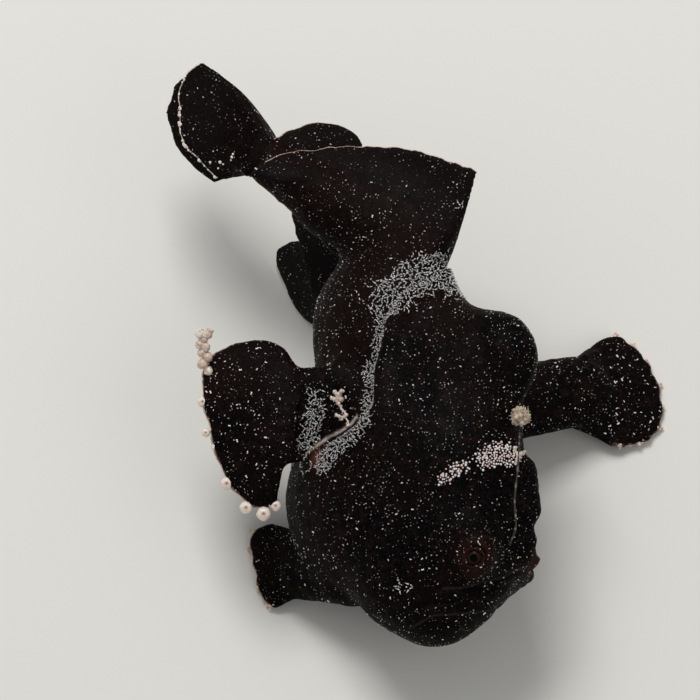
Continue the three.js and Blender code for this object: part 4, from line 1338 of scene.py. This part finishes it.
# Where the long prickles crowd: how much, how wide, how coarse they are, and along which places.
DENSE = {
    "hollow": (1.0, 2.2, 0.7, [px(392, 300), px(415, 280), px(438, 274), px(458, 284), px(474, 306)]),
    "crease": (1.0, 0.6, 0.3, [px(392, 300), px(382, 320), px(379, 341), px(376, 359), px(370, 367),
                               px(370, 383), px(368, 404)]),
    "bend": (1.0, 0.8, 0.45, [px(368, 404), px(364, 421), px(351, 438)]),
    "arm": (1.0, 1.1, 0.4, [px(350, 434), px(333, 448), px(322, 462)]),
    "spot": (0.5, 1.4, 0.6, [px(306, 458), px(318, 466)]),
    "axil": (0.9, 0.95, 0.4, [px(314, 398), px(315, 420), px(307, 441)]),
    "cheek": (0.4, 0.6, 1.0, [px(402, 585), px(412, 580)]),
    "fin": (0.7, 0.4, 0.8, [px(454, 204), px(458, 208)]),
    "front": (0.4, 0.3, 0.2, [px(470, 210), px(458, 238), px(446, 262)]),
}
# Where pink beads crowd: how much, how wide, and along which places.
PINK = [
    (1.0, 1.1, [px(486, 456), px(496, 452), px(507, 455)]),
    (0.7, 0.75, [px(444, 477), px(452, 470), px(463, 466)]),
    (0.35, 0.6, [px(463, 466), px(484, 460)]),
    (0.3, 0.6, [px(400, 590), px(412, 582)]),
]


# How many places are tried, how far apart prickles stand, and how low on the fish they begin.
DRAWS = 230000
SPACING = 0.21
LOWEST = 0.35


def closeness(centres, rows):
    """How strongly each place belongs to rows of strength, width and places on the skin."""
    for strength, width, places in rows:
        away, _ = nearest_on_line(centres, skin_line(cast, *places))
        yield strength, away / width


def prickle_zones(centres):
    """How dense and how coarse the long prickles are at each place, and how many beads are pink."""
    dense, coarse, pink = (np.zeros(len(centres)) for _ in range(3))
    rows = [(strength, width, places) for strength, width, _, places in DENSE.values()]
    for (strength, away), (_, _, coarseness, _) in zip(closeness(centres, rows), DENSE.values()):
        here = strength * smoothstep(1.1, 0.5, away)
        coarse = np.where(here > dense, coarseness, coarse)
        dense = np.maximum(dense, here)
    for strength, away in closeness(centres, PINK):
        pink = np.maximum(pink, strength * smoothstep(1.1, 0.6, away))
    return dense, coarse, pink


def apart(places, reach):
    """The numbers of the places that are left when each one clears those within its reach."""
    tree = tree_of(places)
    taken = np.zeros(len(places), bool)
    kept = []
    for index in range(len(places)):
        if taken[index]:
            continue
        kept.append(index)
        for _, other, _ in tree.find_range(places[index], reach[index]):
            taken[other] = True
    return np.array(kept)


def scatter():
    """The roots of all prickles, the ways they point, and what grows at each."""
    rng = np.random.default_rng(SEED + 2)
    dense, coarse, pink = prickle_zones(points[faces].mean(axis=1))
    number = fin_number[faces[:, 0]]
    out = fin_out[faces[:, 0]]
    smooth_fin = ((number >= 0) & ~handed[faces[:, 0]]) * smoothstep(0.35, 0.7, out)
    crowded = (1 + dense * (0.5 * coarse - 0.3)) * (1 - 0.3 * (pink > 0.5))
    spacing = SPACING * (1 + 0.08 * smooth_fin) * crowded
    weight = face_areas(points, faces) / spacing ** 2
    picks = rng.choice(len(faces), DRAWS, p=weight / weight.sum())
    u, v = rng.random(len(picks)), rng.random(len(picks))
    corner = points[faces[picks]]
    places = (corner[:, 0] * ((1 - u) * (1 - v))[:, None] + corner[:, 1] * (u * (1 - v))[:, None]
              + corner[:, 2] * (u * v)[:, None] + corner[:, 3] * ((1 - u) * v)[:, None])
    kept = apart(places, spacing[picks] * rng.uniform(0.8, 1.2, len(picks)))
    face = picks[kept]
    crowd = 0.5 + 0.25 * fractal(places[kept], 2.6, 31) + 0.3 * noise(places[kept], 0.7, 37)
    filled = np.maximum(smoothstep(0.25, 0.7, dense[face]), smoothstep(0.1, 0.6, pink[face]))
    wanted = (places[kept][:, 2] > LOWEST) & (rng.random(len(kept)) < np.maximum(crowd, filled))
    kept, face = kept[wanted], face[wanted]
    ways = unit(normals[faces[face]].mean(axis=1))
    return places[kept], ways, dense[face], coarse[face], pink[face], number[face]


def box_unwrap(places, ways):
    """Each place on an unwrap of the skin by its six main directions."""
    side = np.argmax(np.abs(ways), axis=1)
    sign = ways[np.arange(len(ways)), side] > 0
    low, high = places.min(axis=0), places.max(axis=0)
    share = (places - low) / (high - low)
    first = np.where(side == 0, share[:, 1], share[:, 0])
    second = np.where(side == 2, share[:, 1], share[:, 2])
    return np.stack([(side + first * 0.98) / 3, (sign + second * 0.98) / 2], 1)


# A prickle has two prongs that spread from one root. Short ones are straight; the long ones bend
# over and lie along the skin. A bead is a low dome. Each is closed, with its base in the skin.
CORNERS = np.array([[math.cos(t), math.sin(t)] for t in (0, 2.094, 4.189)])
# The faces between two levels of three corners each.
SLEEVE = np.array([(0, 1, 4), (0, 4, 3), (1, 2, 5), (1, 5, 4), (2, 0, 3), (2, 3, 5)])
# The size of a prickle's patch on the unwrap, and the most triangles in a piece of the coat.
PATCH = 0.003
PIECE_TRIANGLES = 190000


def prong_faces(levels):
    """The triangles of one prong with three corners at each level."""
    sleeves = [SLEEVE + 3 * level for level in range(levels - 1)]
    top = 3 * (levels - 1)
    return np.concatenate([[(0, 2, 1)], *sleeves, [(top, top + 1, top + 2)]])


def spikes(places, ways, height, width, spread, lean, rng, bent):
    """Corners of two-pronged prickles, one row a prickle, with the triangles of one."""
    east = unit(np.cross(ways, rng.normal(size=places.shape)))
    north = np.cross(ways, east)
    rows = []
    for side in (1, -1):
        foot = places + east * (side * width * 0.45)[:, None] - ways * 0.05
        rise = ways + east * lean[:, :1] + north * lean[:, 1:]
        reach = spread * rng.uniform(0.75, 1.2, len(places))
        top = foot + rise * height[:, None] + east * (side * reach)[:, None]
        levels = [(foot, width), (top, width * 0.78)]
        if bent:
            curl = north * (reach * rng.uniform(-0.6, 0.6, len(places)))[:, None]
            knee = foot + rise * (height * 0.95)[:, None] + east * (side * reach * 0.4)[:, None]
            end = top - rise * (height * 0.15)[:, None] + curl
            levels = [(foot, width), (knee, width), (end, width * 0.5)]
        for middle, across in levels:
            rows += [middle + (east * x + north * y) * across[:, None] for x, y in CORNERS]
    one = prong_faces(len(levels))
    return np.stack(rows, 1), np.concatenate([one, one + len(rows) // 2])


def domes(places, ways, radius, rng, sides=7):
    """Corners of low round beads, one row a bead, with the triangles of one."""
    east = unit(np.cross(ways, rng.normal(size=places.shape)))
    north = np.cross(ways, east)
    rows = []
    for lift, across in ((-0.35, 0.85), (0.25, 1.0), (0.8, 0.62)):
        for side in range(sides):
            turn = side / sides * 2 * math.pi
            way = east * math.cos(turn) + north * math.sin(turn)
            rows.append(places + (way * across + ways * lift) * radius[:, None])
    rows.append(places - ways * radius[:, None] * 0.35)
    rows.append(places + ways * radius[:, None])
    faces = []
    for side in range(sides):
        after = (side + 1) % sides
        for level in (0, sides):
            faces += [(level + side, level + after, level + after + sides),
                      (level + side, level + after + sides, level + side + sides)]
        faces += [(3 * sides, after, side), (3 * sides + 1, 2 * sides + side, 2 * sides + after)]
    return np.stack(rows, 1), np.array(faces)


def add_coat(name, corners, template, roots, values):
    """One kind of prickle as joined meshes, each with its patch on the unwrap of the skin."""
    count, size = corners.shape[:2]
    per_piece = PIECE_TRIANGLES // len(template)
    turn = np.linspace(0, 2 * math.pi, size, endpoint=False)
    patch = (0.5 + 0.5 * np.stack([np.cos(turn), np.sin(turn)], 1)) * PATCH
    for start in range(0, count, per_piece):
        chosen = slice(start, start + per_piece)
        block = corners[chosen]
        triangles = (template[None] + np.arange(len(block))[:, None, None] * size).reshape(-1, 3)
        shades = {key: np.repeat(value[chosen], size) for key, value in values.items()}
        piece = new_piece(f"{name}_{start // per_piece + 1}", block.reshape(-1, 3), triangles,
                          PRICKLES, shades)
        layer = piece.data.uv_layers.new(name="OFBake")
        uv = (roots[chosen][:, None] + patch[None]).reshape(-1, 2)[triangles.ravel()]
        layer.data.foreach_set("uv", uv.astype(np.float32).ravel())
    print(name, count)


# The middle size of a plain prickle, in shares of its length and width, and their limits.
PLAIN_SIZE = 0.63
PLAIN_LIMITS = (0.3, 2.4)
PLAIN_HEIGHT = 0.075
PLAIN_WIDTH = 0.037
PLAIN_SPREAD = 0.014


def add_prickles(places, ways, dense, coarse, pink, number):
    """Plain prickles all over, long bent ones where they crowd, and pink beads over the eye."""
    rng = np.random.default_rng(SEED + 3)
    count = len(places)
    bead = rng.random(count) < pink
    hairy = (rng.random(count) < 1.4 * dense - 0.15) & ~bead
    plain = ~hairy & ~bead
    roots = box_unwrap(places, ways)
    hands = np.isin(number, HAND_NUMBERS)
    thin = (number >= 0) & ~hands
    uneven = np.exp(rng.normal(size=count) * (0.42 + 0.16 * hands))
    size = np.clip((PLAIN_SIZE - 0.08 * thin) * uneven, *PLAIN_LIMITS)
    bright = np.clip(rng.beta(0.8, 1.0, count) + 0.5 * (size - 0.6), 0, 1)
    bright = np.where(hairy, 0.6 + 0.4 * rng.random(count), bright)
    lean = rng.normal(size=(count, 2)) * 0.2
    shape, template = spikes(places[plain], ways[plain], (PLAIN_HEIGHT * size ** 0.5)[plain],
                             (PLAIN_WIDTH * size)[plain], (PLAIN_SPREAD * size)[plain], lean[plain], rng,
                             bent=False)
    add_coat("prickles", shape, template, roots[plain], {"glow": bright[plain], "pink": pink[plain] * 0})
    height = rng.uniform(0.1, 0.17, count)
    spread = rng.uniform(0.12, 0.24, count) * (1 + 0.4 * coarse)
    width = rng.uniform(0.03, 0.04, count) + 0.026 * coarse
    shape, template = spikes(places[hairy], ways[hairy], height[hairy], width[hairy], spread[hairy],
                             lean[hairy], rng, bent=True)
    add_coat("long_prickles", shape, template, roots[hairy],
             {"glow": bright[hairy], "pink": 0.25 * (rng.random(hairy.sum()) < 0.2)})
    shape, template = domes(places[bead], ways[bead], rng.uniform(0.06, 0.11, count)[bead], rng)
    add_coat("beads", shape, template, roots[bead],
             {"glow": np.full(bead.sum(), 0.9), "pink": np.clip(rng.normal(0.35, 0.2, bead.sum()), 0, 1)})


add_prickles(*scatter())


# The stage: a pale floor, soft light from above, and the camera at the photograph's angle.
FLOOR = [(-0.5, -0.5, 0), (0.5, -0.5, 0), (0.5, 0.5, 0), (-0.5, 0.5, 0)]
FLOOR_COLOUR = (0.79, 0.77, 0.715, 1)
SKY_COLOUR = (0.95, 0.97, 1, 1)
SKY_STRENGTH = 0.38
# Each lamp: its place and size in metres, and its power in watts.
LAMPS = {"key": ((-0.06, 0.16, 0.34), 0.16, 0.85), "fill": ((0.25, -0.2, 0.3), 0.3, 0.2)}


def add_floor():
    mesh = new_mesh("floor", np.array(FLOOR), np.array([(0, 1, 2, 3)]))
    floor = bpy.data.objects.new("floor", mesh)
    bpy.context.scene.collection.objects.link(floor)
    material, _, shader = new_material("pale_floor")
    set_inputs(shader, {"Base Color": FLOOR_COLOUR, "Roughness": 0.9, "Specular IOR Level": 0.1})
    mesh.materials.append(material)


def add_lights():
    bpy.context.scene.view_settings.view_transform = "Standard"
    world = bpy.data.worlds.new("studio")
    bpy.context.scene.world = world
    world.use_nodes = True
    set_inputs(world.node_tree.nodes["Background"], {"Color": SKY_COLOUR, "Strength": SKY_STRENGTH})
    for name, (place, size, power) in LAMPS.items():
        light = bpy.data.lights.new(name, "AREA")
        light.size = size
        light.energy = power
        lamp = bpy.data.objects.new(name, light)
        lamp.location = place
        lamp.rotation_euler = Vector(place).to_track_quat("Z", "Y").to_euler()
        bpy.context.scene.collection.objects.link(lamp)


LENS = 900
SENSOR = 36
FRAME_WIDTH = FRAME_PIXELS / PIXELS_PER_MM


def add_camera():
    aim = (seen(0, 0, BODY_HEIGHT) + SHIFT) * MM
    distance = FRAME_WIDTH * LENS / SENSOR * MM
    data = bpy.data.cameras.new("camera")
    data.lens = LENS
    data.sensor_width = SENSOR
    data.clip_start = 0.01
    camera = bpy.data.objects.new("camera", data)
    camera.location = Vector(aim + VIEWWARD * distance)
    camera.rotation_euler = (math.pi / 2 - VIEW_TILT, 0, 0)
    bpy.context.scene.collection.objects.link(camera)
    bpy.context.scene.camera = camera


add_floor()
add_lights()
add_camera()
